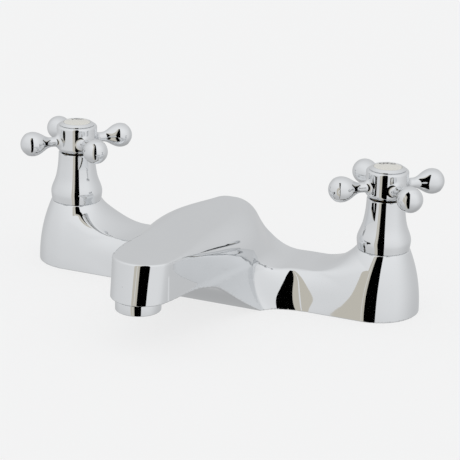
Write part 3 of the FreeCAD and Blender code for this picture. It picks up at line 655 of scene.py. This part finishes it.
@dataclass
class Hide:
    """Skins an implicit form: zero on the surface, negative inside. Millimetres."""

    form: Callable[[np.ndarray, np.ndarray, np.ndarray], np.ndarray]
    low: tuple[float, float, float]
    high: tuple[float, float, float]
    pitch: float
    slabs: int = 12
    reach: float = 0.01
    least_slope: float = 0.05

    def sample(self) -> tuple[list[np.ndarray], np.ndarray]:
        """Samples the form on a grid.

        Returns:
            The grid's places along each axis, and the form's values.
        """
        axes = [np.arange(a, b + self.pitch, self.pitch) for a, b in zip(self.low, self.high)]
        parts = []
        for chunk in np.array_split(axes[0], self.slabs):
            parts.append(self.form(*np.meshgrid(chunk, axes[1], axes[2], indexing="ij")))
        return axes, np.concatenate(parts)

    def slope(self, points: np.ndarray) -> np.ndarray:
        """The form's gradient at points.

        Args:
            points: The places.

        Returns:
            One vector for each point.
        """
        columns = []
        for axis in range(3):
            shift = np.zeros(3)
            shift[axis] = self.reach
            ahead = self.form(*(points + shift).T)
            behind = self.form(*(points - shift).T)
            columns.append((ahead - behind) / (2 * self.reach))
        return np.stack(columns, axis=1)

    def settle(self, points: np.ndarray, rounds: int) -> np.ndarray:
        """Moves points onto the surface.

        Args:
            points: Places near it.
            rounds: Number of steps.

        Returns:
            The settled points.
        """
        for _ in range(rounds):
            slope = self.slope(points)
            length = np.maximum((slope * slope).sum(axis=1), self.least_slope)
            step = (self.form(*points.T) / length)[:, None] * slope
            size = np.linalg.norm(step, axis=1)[:, None]
            points = points - step * np.minimum(1.0, self.pitch / np.maximum(size, TINY))
        return points

    def quads(self, inside: np.ndarray, index: np.ndarray) -> np.ndarray:
        """Faces of the skin: one quad round each grid edge that crosses the surface.

        Args:
            inside: Whether each grid corner is inside.
            index: Number of the point in each grid cell.

        Returns:
            The quads, facing outwards.
        """
        faces = []
        for axis in range(3):
            ahead, here, trim = ([slice(None)] * 3 for _ in range(3))
            ahead[axis], here[axis] = slice(1, None), slice(None, -1)
            others = [n for n in range(3) if n != axis]
            for other in others:
                trim[other] = slice(1, -1)
            rising = inside[tuple(here)]
            spots = np.argwhere((inside[tuple(ahead)] != rising)[tuple(trim)])
            spots[:, others] += 1
            quad = []
            for offset in ((0, 0), (-1, 0), (-1, -1), (0, -1)):
                cell = spots.copy()
                cell[:, others] += offset
                quad.append(index[tuple(cell.T)])
            quad = np.stack(quad, axis=1)
            outward = rising[tuple(spots.T)] != (axis == 1)
            quad[~outward] = quad[~outward][:, ::-1]
            faces.append(quad)
        return np.concatenate(faces)

    def skin(self, relax: int = 3) -> Skin:
        """Makes an even skin of quads.

        Args:
            relax: Rounds of evening out.

        Returns:
            The skin with its normals.
        """
        axes, values = self.sample()
        inside = values < 0
        corners = np.zeros(tuple(n - 1 for n in values.shape), np.int8)
        for offset in np.ndindex(2, 2, 2):
            corners += inside[tuple(slice(o, n - 1 + o) for o, n in zip(offset, inside.shape))]
        crossed = (corners > 0) & (corners < 8)
        cells = np.argwhere(crossed)
        index = np.full(crossed.shape, -1, np.int64)
        index[crossed] = np.arange(len(cells))
        faces = self.quads(inside, index)
        points = np.array([axis[0] for axis in axes]) + (cells + 0.5) * self.pitch
        points = self.settle(points, 4)
        for _ in range(relax):
            points = self.settle(self.evened(points, faces), 2)
        slope = self.slope(points)
        normals = slope / np.maximum(np.linalg.norm(slope, axis=1), TINY)[:, None]
        return Skin(points, faces, normals)

    def evened(self, points: np.ndarray, faces: np.ndarray) -> np.ndarray:
        """Moves each point half way to the middle of its faces.

        Args:
            points: The skin's points.
            faces: Its quads.

        Returns:
            The evened points.
        """
        middles = points[faces].mean(axis=1)
        total = np.zeros_like(points)
        count = np.zeros(len(points))
        for column in range(4):
            np.add.at(total, faces[:, column], middles)
            np.add.at(count, faces[:, column], 1)
        return points * 0.5 + total / np.maximum(count, 1)[:, None] * 0.5


# Casting


@dataclass
class Casting:
    """The bridge, its two flared bells and the flat tapered spout, cast in one. Millimetres.

    The spout points to -y. Stations are (y, value) pairs: the hump's half width, the radius of its
    shoulders, the slope of its sides in degrees, the radius of their foot, and the underside's height.
    Spans are (first, last) places between which one size passes into another. Low and high are the
    corners of the box that the form is sampled in.
    """

    half_centres: float = 90.0
    bell_height: float = 34.0
    bell_top: float = 13.9
    bell_length: float = 20.2
    bell_depth: float = 23.4
    bell_lean: float = 1.6
    bell_edge: float = 14.0
    bell_edge_span: tuple = (58.0, 80.0)
    bell_rim: float = 0.6
    bar_height: float = 20.7
    bar_power: float = 1.35
    flare_power: float = 2.18
    crown_height: float = 46.0
    edge: float = 0.9
    nose_half: float = 15.5
    nose_corner: float = 104.5
    nose_reach: float = 114.6
    nose_lean: float = 0.16
    root_half: float = 29.5
    root_reach: float = 36.0
    root_edge: float = 1.6
    root_edge_across: tuple = (46.0, 32.0)
    root_edge_ahead: tuple = (-90.0, -50.0)
    root_rise: float = 24.0
    root_rise_start: float = 47.0
    root_rise_run: float = 17.0
    corner_run: float = 21.0
    corner_top_run: float = 29.0
    corner_swell: float = 18.0
    corner_shift: float = 6.0
    corner_reach: float = 32.4
    rise_run: float = 16.5
    rise_start: float = 54.0
    swell_span: tuple = (41.0, 86.0)
    seam_radius: float = 60.0
    seam_least: float = 0.01
    seam_cosine: float = 0.992
    seam_span: tuple = (86.0, 78.0)
    back_edge: float = 6.0
    back_edge_span: tuple = (24.0, 36.0)
    back_drop: float = 2.0
    under_edge: float = 0.6
    under_step: float = 1.0
    deck_edge: float = 0.5
    bore_edge: float = 0.3
    socket_radius: float = 12.06
    socket_depth: float = 8.5
    seat_radius: float = 5.6
    seat_height: float = 11.0
    overrun: float = 1.0
    chamber_radius: float = 10.5
    outlet_reach: float = 106.1
    outlet_radius: float = 9.6
    outlet_top: float = 33.5
    pitch: float = 0.8
    low: tuple = (-113.0, -121.5, -2.4)
    high: tuple = (113.0, 27.0, 48.6)
    width_stations: tuple = (
        (-125.0, 12.5), (-104.5, 15.8), (-84.0, 19.2), (-57.0, 24.6), (-33.0, 29.8), (-14.0, 28.0),
        (0.0, 22.0), (14.0, 16.0), (26.0, 15.5),
    )
    shoulder_stations: tuple = (
        (-125.0, 1.2), (-104.5, 1.2), (-93.0, 1.9), (-84.0, 3.7), (-57.0, 11.5), (-33.0, 17.0),
        (-14.0, 18.0), (0.0, 17.0), (14.0, 15.0), (26.0, 14.0),
    )
    slope_stations: tuple = (
        (-125.0, 89.0), (-84.0, 89.0), (-57.0, 88.0), (-33.0, 80.0), (-14.0, 65.0), (0.0, 60.0),
        (14.0, 57.0), (26.0, 57.0),
    )
    foot_stations: tuple = (
        (-125.0, 6.0), (-84.0, 7.0), (-57.0, 8.0), (-33.0, 8.0), (-14.0, 14.0), (0.0, 20.0),
        (14.0, 26.0), (26.0, 26.0),
    )
    under_stations: tuple = (
        (-130.0, 25.5), (-92.0, 25.5), (-82.0, 25.2), (-72.5, 23.6), (-62.6, 20.3), (-52.0, 13.6),
        (-39.5, 4.6), (-32.6, 0.0), (-20.0, -8.5),
    )

    def __post_init__(self) -> None:
        """Makes the curves that the form follows."""
        self.width = spline(self.width_stations)
        self.shoulder = spline(self.shoulder_stations)
        self.slope_angle = spline(self.slope_stations)
        self.foot = spline(self.foot_stations)
        self.under = spline(self.under_stations)

    def flare(self, height: np.ndarray, top: object, power: object) -> np.ndarray:
        """Share of the flare left at a height.

        Args:
            height: Height above the deck.
            top: Where the flare ends.
            power: How late it opens.

        Returns:
            1 at the deck, 0 at the top.
        """
        return 1 - np.power(np.clip(height / top, 0.0, 1.0), power)

    def oval(self, x: np.ndarray, y: np.ndarray, z: np.ndarray) -> tuple[np.ndarray, np.ndarray]:
        """The nearer bell, round about a centre that moves in towards the deck.

        Args:
            x: Place across.
            y: Place to the rear.
            z: Height.

        Returns:
            Distance outwards from its centre's plane, and from its wall.
        """
        share = self.flare(z, self.bell_height, self.flare_power)
        radius = self.bell_top + (self.bell_depth - self.bell_top) * share
        across = np.abs(x) - self.half_centres + (self.bell_depth - self.bell_length) * share
        return across, np.hypot(across, y) - radius

    def hump(self, x: np.ndarray, y: np.ndarray, z: np.ndarray) -> np.ndarray:
        """The top form: flat crown, rounded shoulders, falling sides and their foot on the bar.

        Args:
            x: Place across.
            y: Place to the rear.
            z: Height.

        Returns:
            Its distance field.
        """
        half, radius, foot = self.width(y), self.shoulder(y), self.foot(y)
        angle = np.radians(self.slope_angle(y))
        sine, cosine = np.sin(angle), np.cos(angle)
        across = np.abs(x) - (half - radius)
        up = z - (self.crown_height - radius)
        side = across * sine + up * cosine - radius
        in_arc = (across > 0) & (up * sine - across * cosine > 0)
        wedge = np.where(in_arc, np.hypot(across, up) - radius, np.maximum(side, up - radius))
        bar = z - self.bar_height
        rise = self.bar_height + foot - (self.crown_height - radius)
        foot_x = (half - radius) + (radius + foot - rise * cosine) / sine
        off_x, off_z = np.abs(x) - foot_x, bar - foot
        in_foot = (off_x < 0) & (off_z * sine - off_x * cosine < 0)
        return np.where(in_foot, foot - np.hypot(off_x, off_z), np.minimum(wedge, bar))

    def walls(self, x: np.ndarray, y: np.ndarray, z: np.ndarray) -> np.ndarray:
        """The plan: the bar's swelling walls, the spout's tapered sides and the corners between.

        Args:
            x: Place across.
            y: Place to the rear.
            z: Height.

        Returns:
            Its distance field.
        """
        along = smooth_step(np.abs(x), *self.swell_span)
        inward = np.clip((self.root_rise_start - np.abs(x)) / self.root_rise_run, 0, 1) ** 2
        top = self.bar_height + (self.bell_height - self.bar_height) * along
        swell = self.bell_depth - self.bell_top
        power = self.bar_power + (self.flare_power - self.bar_power) * along
        rear = y - self.bell_top - swell * self.flare(z, top, power)
        power = self.bar_power + (self.flare_power - self.bar_power) * np.maximum(along, inward)
        depth = self.bell_top + swell * self.flare(z, top + self.root_rise * inward, power)
        run, length = self.root_half - self.nose_half, self.nose_corner - self.root_reach
        side = (np.abs(x) - self.nose_half) * length - (y + self.nose_corner) * run
        side = round_cut(side / math.hypot(run, length), self.nose(x, y, z), self.edge)
        level = np.clip(z / self.bar_height, 0, 1)
        run_out = self.corner_run + (self.corner_top_run - self.corner_run) * level
        run_out = run_out + self.corner_swell * level**2 * (1 - level) * LATE_SCALE
        side = side - self.corner_shift * (1 - level) ** 2
        return np.maximum(sweep_join(side, -y - depth, run_out, self.corner_reach - depth), rear)

    def nose(self, x: np.ndarray, y: np.ndarray, z: np.ndarray) -> np.ndarray:
        """The bowed front of the spout, which leans out towards its foot.

        Args:
            x: Place across.
            y: Place to the rear.
            z: Height.

        Returns:
            Its distance field.
        """
        tip = self.nose_reach + (self.crown_height - z) * self.nose_lean
        rise = tip - self.nose_corner
        radius = (self.nose_half**2 + rise * rise) / (2 * rise)
        ahead = -(y + tip - radius)
        return np.minimum(np.hypot(np.abs(x), ahead) - radius, ahead - (radius - rise))

    def softness(self, x: np.ndarray, y: np.ndarray) -> np.ndarray:
        """Radius of the edge between the top and the walls.

        Args:
            x: Place across.
            y: Place to the rear.

        Returns:
            The radius: larger at the spout's root and largest beside the bells.
        """
        across = np.abs(x)
        root = smooth_step(across, *self.root_edge_across) * smooth_step(y, *self.root_edge_ahead)
        bell = smooth_step(across, *self.bell_edge_span)
        return self.edge + (self.root_edge - self.edge) * root + (self.bell_edge - self.edge) * bell

    def form(self, x: np.ndarray, y: np.ndarray, z: np.ndarray) -> np.ndarray:
        """The whole casting.

        Args:
            x: Place across.
            y: Place to the rear.
            z: Height.

        Returns:
            Its distance field.
        """
        across, oval = self.oval(x, y, z)
        climb = self.bell_height - self.bar_height
        rise = sweep_join(oval, z - self.bar_height, self.rise_run, climb)
        top = np.minimum(self.hump(x, y, z), np.maximum(rise, z - self.bell_height))
        top = np.maximum(top, z - self.crown_height)
        walls, soft = self.walls(x, y, z), self.softness(x, y)
        outward = np.clip(1 - oval / self.rise_run, 0, None) / self.rise_run
        upward = np.clip(1 - (z - self.bar_height) / climb, LEAST_UPWARD, None) / climb
        lean = (self.bell_depth - self.bell_top) * self.bell_lean / self.bell_height
        cosine = (outward * np.abs(y) / (oval + self.bell_depth) + upward * lean) / (
            np.hypot(outward, upward) * math.hypot(1, lean)
        )
        risen = corner_cut(top, walls, soft, cosine)
        bridge = np.where(np.abs(x) > self.rise_start, risen, round_cut(top, walls, soft))
        bridge = np.maximum(bridge, across)
        edge = self.edge + (self.back_edge - self.edge) * smooth_step(z, *self.back_edge_span)
        backed = round_cut(bridge, y - self.bell_top, edge)
        bridge = np.where(z > self.bar_height - self.back_drop, backed, bridge)
        bell = round_cut(oval, z - self.bell_height, self.bell_rim)
        seam = self.seam_radius * smooth_step(np.abs(x), *self.seam_span) + self.seam_least
        whole = -corner_cut(-bridge, -bell, seam, self.seam_cosine)
        ahead, behind = self.under(y - self.under_step), self.under(y + self.under_step)
        tilt = (behind - ahead) / (2 * self.under_step)
        whole = round_cut(whole, (self.under(y) - z) / np.sqrt(1 + tilt * tilt), self.under_edge)
        return self.bored(round_cut(whole, -z, self.deck_edge), x, y, z)

    def bored(self, whole: np.ndarray, x: np.ndarray, y: np.ndarray, z: np.ndarray) -> np.ndarray:
        """Cuts the sockets, seats, chambers and the outlet.

        Args:
            whole: The uncut field.
            x: Place across.
            y: Place to the rear.
            z: Height.

        Returns:
            The cut field.
        """
        out = np.hypot(np.abs(x) - self.half_centres, y)
        socket = np.maximum(out - self.socket_radius, z - self.socket_depth)
        seat = np.maximum(out - self.seat_radius, z - self.seat_height - self.overrun)
        chamber = np.maximum(out - self.chamber_radius, self.seat_height - z)
        outlet = np.hypot(x, y + self.outlet_reach) - self.outlet_radius
        outlet = np.maximum(outlet, z - self.outlet_top)
        hollow = np.minimum(np.minimum(socket, seat), np.minimum(chamber, outlet))
        return round_cut(whole, -hollow, self.bore_edge)

    def build(self) -> bpy.types.Object:
        """Builds the casting.

        Returns:
            The dressed casting.
        """
        made = Hide(self.form, self.low, self.high, self.pitch).skin().piece("casting", CHROME)
        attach(made, "body")
        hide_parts("body_casting")
        return made


# Taps


@dataclass
class Shroud:
    """The bell over one cartridge. Millimetres above the deck; its curve is (height, radius) pairs."""

    foot_height: float = 34.0
    foot_edge: float = 0.3
    top_height: float = 61.2
    top_edge: float = 0.5
    wall: float = 1.6
    foot_wall: float = 2.2
    lining: float = 6.0
    spans: int = 63
    curve: tuple = (
        (34.0, 13.62), (37.0, 14.0), (39.5, 14.08), (41.0, 13.75), (43.5, 12.85), (46.5, 11.75),
        (50.0, 10.95), (54.0, 10.4), (58.0, 10.1), (61.2, 10.0),
    )

    def build(self, side: str, x: float) -> bpy.types.Object:
        """Builds one shroud.

        Args:
            side: hot or cold.
            x: Its axis.

        Returns:
            The dressed shroud.
        """
        wall = spline(self.curve)
        foot, top = self.foot_height, self.top_height
        heights = np.linspace(foot + self.foot_edge, top - self.top_edge, self.spans + 1)
        outside = [(float(wall(h)), float(h)) for h in heights]
        first, last = outside[0][0], outside[-1][0]
        outline = [(first - self.foot_edge, foot)] + outside
        outline += arc((last - self.top_edge, top - self.top_edge), self.top_edge, 0, 90, 5)[1:]
        outline += [(last - self.wall, top), (last - self.wall, top - self.lining)]
        outline += [(first - self.foot_wall, foot + self.lining), (first - self.foot_wall, foot)]
        made = Lathe(outline).skin().moved(x, 0, 0).piece(f"shroud_{side}_shell", CHROME)
        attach(made, "body")
        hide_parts(f"shroud_{side}")
        return made


@dataclass
class CrossHandle:
    """Hub and four ball arms, cast in one. Millimetres above the deck; rest is in degrees."""

    foot: float = 61.8
    foot_radius: float = 9.0
    foot_edge: float = 0.4
    radius: float = 11.1
    widest: float = 64.6
    top: float = 76.6
    edge: float = 1.3
    pocket_radius: float = 8.0
    pocket_depth: float = 3.4
    arm_height: float = 68.0
    arm_radius: float = 2.65
    arm_reach: float = 25.97
    ball_radius: float = 6.64
    neck_blend: float = 4.5
    root_blend: float = 2.4
    bore: float = 4.05
    overrun: float = 2.0
    cut_edge: float = 0.25
    pitch: float = 0.42
    rest: dict = field(default_factory=lambda: {"hot": 50.3, "cold": 44.8})

    def form(self, x: np.ndarray, y: np.ndarray, z: np.ndarray) -> np.ndarray:
        """The whole handle, its arms along the axes.

        Args:
            x: Place across.
            y: Place to the rear.
            z: Height.

        Returns:
            Its distance field.
        """
        out = np.hypot(x, y)
        fall = np.clip(self.widest - z, 0, None) / (self.widest - self.foot)
        wall = out - (self.radius - (self.radius - self.foot_radius) * fall * fall)
        hub = round_cut(wall, z - self.top, self.edge)
        hub = round_cut(hub, self.foot - z, self.foot_edge)
        near, far = np.maximum(np.abs(x), np.abs(y)), np.minimum(np.abs(x), np.abs(y))
        height = z - self.arm_height
        rod = np.maximum(np.hypot(far, height) - self.arm_radius, near - self.arm_reach)
        ball = np.sqrt((near - self.arm_reach) ** 2 + far * far + height * height) - self.ball_radius
        arm = round_join(rod, ball, self.neck_blend)
        whole = round_join(hub, arm, self.root_blend)
        pocket = np.maximum(out - self.pocket_radius, self.top - self.pocket_depth - z)
        bore = np.maximum(out - self.bore, z - self.top + self.pocket_depth + self.overrun)
        return round_cut(whole, -np.minimum(pocket, bore), self.cut_edge)

    def skin(self) -> Skin:
        """Skins the handle.

        Returns:
            The skin about the upright axis.
        """
        margin = 2 * self.pitch
        reach = self.arm_reach + self.ball_radius + margin
        low = (-reach, -reach, self.arm_height - self.ball_radius - margin)
        return Hide(self.form, low, (reach, reach, self.top + margin), self.pitch).skin()

    def build(self, skin: Skin, side: str, x: float) -> bpy.types.Object:
        """Places one handle.

        Args:
            skin: The shared skin.
            side: hot or cold.
            x: Its axis.

        Returns:
            The dressed handle.
        """
        made = skin.turned(self.rest[side]).moved(x, 0, 0).piece(f"handle_{side}_cast", CHROME)
        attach(made, f"{side}_handle")
        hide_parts(f"cross_handle_{side}")
        return made


@dataclass
class Index:
    """Bezel ring, glazed disc and its word on top of one hub. Millimetres; angles in degrees."""

    seat: float = 76.6
    seat_edge: float = 0.35
    ring_radius: float = 9.6
    ring_height: float = 1.5
    ring_slope: float = 1.75
    ring_edge: float = 0.45
    lip_edge: float = 0.2
    lap: float = 1.0
    skirt_depth: float = 2.6
    skirt_radius: float = 7.95
    disc_radius: float = 7.3
    disc_gap: float = 0.06
    disc_depth: float = 1.7
    disc_edge: float = 0.25
    crown: float = 0.5
    crown_spans: int = 13
    word_radius: float = 4.9
    word_angle: float = 112.757
    letter_height: float = 2.6
    letter_step: float = 25.0
    letter_lift: float = 0.03
    letter_sink: float = 0.15
    stroke_half: float = 0.27

    def build(self, side: str, x: float) -> list[bpy.types.Object]:
        """Builds the ring, the disc and the word.

        Args:
            side: hot or cold.
            x: Their axis.

        Returns:
            The dressed pieces.
        """
        top = self.seat + self.ring_height
        ring = Lathe(self.ring(top)).skin().moved(x, 0, 0).piece(f"bezel_{side}_ring", CHROME)
        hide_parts(f"index_bezel_{side}")
        disc = Lathe(self.disc(top)).skin().moved(x, 0, 0).piece(f"index_{side}_glaze", PORCELAIN)
        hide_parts(f"index_disc_{side}")
        word = self.word(side, top).moved(x, 0, 0).piece(f"index_{side}_word", ENAMEL)
        for made in (ring, disc, word):
            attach(made, f"{side}_handle")
        return [ring, disc, word]

    def ring(self, top: float) -> list[tuple[float, float]]:
        """Outline of the ring.

        Args:
            top: Its height.

        Returns:
            (radius, height) points.
        """
        foot, under = self.seat - self.skirt_depth, self.disc_radius - self.lap
        inner = self.disc_radius + self.disc_gap
        seat = (self.ring_radius - self.seat_edge, self.seat + self.seat_edge)
        crest = (self.ring_radius - self.ring_slope, top - self.ring_edge)
        lip = (inner + self.lip_edge, top - self.lip_edge)
        outline = [(under, foot), (self.skirt_radius, foot), (self.skirt_radius, self.seat)]
        outline += arc(seat, self.seat_edge, -90, 20, 5) + arc(crest, self.ring_edge, 48, 100, 5)
        outline += arc(lip, self.lip_edge, 90, 180, 4)
        return outline + [(inner, top - self.disc_depth), (under, top - self.disc_depth)]

    def disc(self, top: float) -> list[tuple[float, float]]:
        """Outline of the crowned disc.

        Args:
            top: Height of its rim.

        Returns:
            (radius, height) points.
        """
        rim = self.disc_radius
        shares = np.linspace(0, 1, self.crown_spans + 1)[1:]
        face = [(rim * (1 - s), top + self.crown * (1 - (1 - s) ** 2)) for s in shares]
        edge = arc((rim - self.disc_edge, top - self.disc_edge), self.disc_edge, 0, 70, 4)
        return [(0.0, top - self.disc_depth), (rim, top - self.disc_depth)] + edge + face

    def word(self, side: str, top: float) -> Skin:
        """The printed word along the far rim: short raised strokes.

        Args:
            side: hot or cold, which is also the word.
            top: Height of the disc's rim.

        Returns:
            The strokes as one skin.
        """
        points, faces = [], []
        for place, letter in enumerate(side):
            angle = math.radians(self.word_angle - self.letter_step * (place - (len(side) - 1) / 2))
            outward = np.array([math.cos(angle), math.sin(angle)])
            along = np.array([outward[1], -outward[0]])
            for stroke in STROKES[letter]:
                corners = np.array(stroke) - LETTER_MIDDLE
                for start, end in zip(corners, corners[1:]):
                    way = (end - start) / np.hypot(*(end - start))
                    half = np.array([-way[1], way[0]]) * self.stroke_half
                    first, last = start * self.letter_height, end * self.letter_height
                    flat = (first - half, last - half, last + half, first + half)
                    faces += [[len(points) + corner for corner in face] for face in BOX_FACES]
                    for lift in (-self.letter_sink, self.letter_lift):
                        for across, up in flat:
                            spot = outward * (self.word_radius + up) + along * across
                            dome = self.crown * (1 - np.hypot(*spot) ** 2 / self.disc_radius**2)
                            points.append((spot[0], spot[1], top + dome + lift))
        return Skin(np.array(points), faces)


@dataclass
class Outlet:
    """The ring under the nose. Millimetres above the deck."""

    reach: float = 106.1
    foot: float = 20.1
    foot_edge: float = 0.6
    mouth: float = 7.2
    mouth_edge: float = 0.3
    mouth_depth: float = 1.6
    seat: float = 25.5
    seat_edge: float = 0.2
    seat_gap: float = 0.05
    radius: float = 11.4
    thread: float = 9.55
    thread_length: float = 6.4
    bore: float = 8.2

    def build(self) -> bpy.types.Object:
        """Builds the outlet ring.

        Returns:
            The dressed ring.
        """
        mouth = (self.mouth + self.mouth_edge, self.foot + self.mouth_edge)
        foot = (self.radius - self.foot_edge, self.foot + self.foot_edge)
        seat = (self.radius - self.seat_edge, self.seat - self.seat_edge - self.seat_gap)
        top = self.seat + self.thread_length
        outline = [(self.mouth, self.foot + self.mouth_edge)]
        outline += arc(mouth, self.mouth_edge, 180, 270, 4)[1:]
        outline += arc(foot, self.foot_edge, -90, 0, 6) + arc(seat, self.seat_edge, 0, 90, 4)
        outline += [(self.thread, self.seat), (self.thread, top), (self.bore, top)]
        outline += [(radius, self.foot + self.mouth_depth) for radius in (self.bore, self.mouth)]
        made = Lathe(outline).skin().moved(0, -self.reach, 0).piece("outlet_ring", CHROME)
        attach(made, "body")
        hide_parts("aerator_housing")
        return made


NODE_FINISHES = {
    "cartridge_body": BRASS, "spindle": BRASS, "handle_screw": STEEL, "circlip": STEEL,
    "body_o_ring": RUBBER, "seat_seal": RUBBER, "spindle_o_rings": RUBBER, "aerator_seal": RUBBER,
    "fixed_disc": ALUMINA, "moving_disc": ALUMINA, "disc_driver": NYLON, "friction_washer": NYLON,
    "aerator_insert": NYLON, "index_disc": PORCELAIN,
}


def dress_nodes(nodes: dict) -> int:
    """Gives every carried-over node its finish.

    Args:
        nodes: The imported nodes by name.

    Returns:
        How many were dressed.
    """
    for name, node in nodes.items():
        stem = next((key for key in NODE_FINISHES if name.startswith(key)), None)
        finish = NODE_FINISHES[stem] if stem else CHROME
        node.data.materials.clear()
        node.data.materials.append(finish.material())
    return len(nodes)


# Studio


@dataclass
class Studio:
    """Pale floor, soft tent, the dark slit that the lens looks through, and the camera. Metres.

    The tent's spans are (first, last) parts of a direction between which its light changes. A strip is a
    name, its left and right edge, and its colour.
    """

    pixels: float = 460.0
    focal_pixels: float = 1822.065
    sensor: float = 36.0
    azimuth: float = 22.757
    elevation: float = 18.492
    roll: float = 1.643
    place: tuple = (0.3636, -0.8594, 0.3416)
    backdrop: float = 0.9131
    tent_level: float = 0.80
    tent_above: float = 0.12
    tent_above_span: tuple = (-0.2, 0.9)
    tent_right: float = 0.05
    tent_behind: float = 0.17
    tent_behind_span: tuple = (-0.3, 0.9)
    tent_below: float = 0.25
    tent_below_span: tuple = (-1.0, -0.1)
    tent_red: float = 0.99
    tent_blue: float = 1.012
    floor_half: float = 3.0
    floor_tone: float = 0.2
    floor_glow: float = 0.73
    strip_y: float = -0.40
    strip_foot: float = -1.2
    strip_top: float = 1.6
    strips: tuple = (
        ("slit", 0.036, 0.245, (0.0, 0.0, 0.0)),
        ("slit_flap", -0.006, 0.036, (0.60, 0.57, 0.50)),
        ("slit_hem", -0.06, -0.014, (0.60, 0.57, 0.50)),
    )

    def camera(self) -> None:
        """Places the camera at the photograph's viewing angle."""
        az, el, roll = (math.radians(a) for a in (self.azimuth, self.elevation, self.roll))
        back = Vector((math.sin(az) * math.cos(el), -math.cos(az) * math.cos(el), math.sin(el)))
        right = Vector((math.cos(az), math.sin(az), 0.0))
        up = back.cross(right)
        tilted = right * math.cos(roll) + up * math.sin(roll)
        lifted = up * math.cos(roll) - right * math.sin(roll)
        lens = bpy.data.cameras.new("lens")
        lens.sensor_width = self.sensor
        lens.lens = self.focal_pixels * self.sensor / self.pixels
        camera = bpy.data.objects.new("lens", lens)
        bpy.context.scene.collection.objects.link(camera)
        turn = Matrix((tilted, lifted, back)).transposed().to_4x4()
        camera.matrix_world = Matrix.Translation(Vector(self.place)) @ turn
        bpy.context.scene.camera = camera

    def world(self) -> None:
        """Tent light: brighter above and to the right, duller behind and below."""
        world = bpy.data.worlds.new("tent")
        bpy.context.scene.world = world
        world.use_nodes = True
        graph = Graph(world.node_tree)
        way = graph.add("ShaderNodeTexCoord", output="Generated")
        parts = graph.node("ShaderNodeSeparateXYZ", inputs={0: way})
        across, ahead, up = (Wire(graph, socket) for socket in parts.outputs)
        light = self.tent_level + up.band(*self.tent_above_span) * self.tent_above
        light = light + across * self.tent_right
        light = light - ahead.band(*self.tent_behind_span) * self.tent_behind
        light = light - (1.0 - up.band(*self.tent_below_span)) * self.tent_below
        channels = {0: light * self.tent_red, 1: light, 2: light * self.tent_blue}
        tent = graph.add("ShaderNodeCombineColor", inputs=channels)
        seen = graph.add("ShaderNodeLightPath", output="Is Camera Ray")
        colour = graph.blend(seen, tent, rgba(self.backdrop, self.backdrop, self.backdrop))
        ground = graph.add("ShaderNodeBackground", inputs={"Color": colour, "Strength": 1.0})
        graph.close("ShaderNodeOutputWorld", ground)

    def sheet(
        self, name: str, corners: Sequence[Sequence[float]], shade: Callable[[Graph], Wire]
    ) -> bpy.types.Object:
        """One flat sheet of the studio.

        Args:
            name: Its name.
            corners: Its corners.
            shade: Makes its shader.

        Returns:
            The staged sheet.
        """
        mesh = bpy.data.meshes.new(name)
        mesh.from_pydata(corners, [], [tuple(range(len(corners)))])
        material = bpy.data.materials.new(name)
        material.use_nodes = True
        graph = Graph(material.node_tree)
        graph.close("ShaderNodeOutputMaterial", shade(graph))
        mesh.materials.append(material)
        made = bpy.data.objects.new(name, mesh)
        bpy.context.scene.collection.objects.link(made)
        return made

    def floor(self, graph: Graph) -> Wire:
        """Shader of a floor that reads as the backdrop, keeps a faint shadow and isn't mirrored.

        Args:
            graph: The floor's node tree.

        Returns:
            The shader.
        """
        tone, glow = (rgba(level, level, level) for level in (self.floor_tone, self.floor_glow))
        diffuse = graph.add("ShaderNodeBsdfDiffuse", inputs={"Color": tone})
        lit = graph.add("ShaderNodeEmission", inputs={"Color": glow, "Strength": 1.0})
        both = graph.add("ShaderNodeAddShader", inputs={0: diffuse, 1: lit})
        clear = graph.add("ShaderNodeBsdfTransparent")
        glossy = graph.add("ShaderNodeLightPath", output="Is Glossy Ray")
        return graph.add("ShaderNodeMixShader", inputs={0: glossy, 1: both, 2: clear})

    def strip(self, name: str, left: float, right: float, glow: tuple[float, float, float]) -> None:
        """An upright strip that only reflections see.

        Args:
            name: Its name.
            left: Its left edge.
            right: Its right edge.
            glow: Its colour.
        """
        y, low, high = self.strip_y, self.strip_foot, self.strip_top
        corners = [(left, y, low), (right, y, low), (right, y, high), (left, y, high)]
        lit = {"Color": rgba(*glow), "Strength": 1.0}
        made = self.sheet(name, corners, lambda graph: graph.add("ShaderNodeEmission", inputs=lit))
        for ray in ("camera", "diffuse", "shadow", "transmission", "volume_scatter"):
            setattr(made, f"visible_{ray}", False)

    def build(self) -> None:
        """Sets up the whole studio."""
        bpy.context.scene.view_settings.view_transform = "Standard"
        self.camera()
        self.world()
        corners = [(x * self.floor_half, y * self.floor_half, 0) for x, y in SQUARE]
        self.sheet("floor", corners, self.floor)
        for name, left, right, glow in self.strips:
            self.strip(name, left, right, glow)


def main() -> None:
    """Builds every sub-assembly in order."""
    logging.basicConfig(level=logging.INFO, format="%(name)s: %(message)s")
    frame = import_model()
    count = dress_nodes(frame["nodes"])
    log.info("dressed %d nodes", count)
    casting = Casting()
    made = casting.build()
    log.info("%s: %d faces", made.name, len(made.data.polygons))
    handle = CrossHandle()
    skin = handle.skin()
    log.info("handle skin: %d faces", len(skin.faces))
    for side, sign in zip(SIDES, (-1, 1)):
        x = casting.half_centres * sign
        for made in [Shroud().build(side, x), handle.build(skin, side, x), *Index().build(side, x)]:
            log.info("%s", made.name)
    made = Outlet().build()
    log.info("%s", made.name)
    Studio().build()


if __name__ == "__main__":
    main()
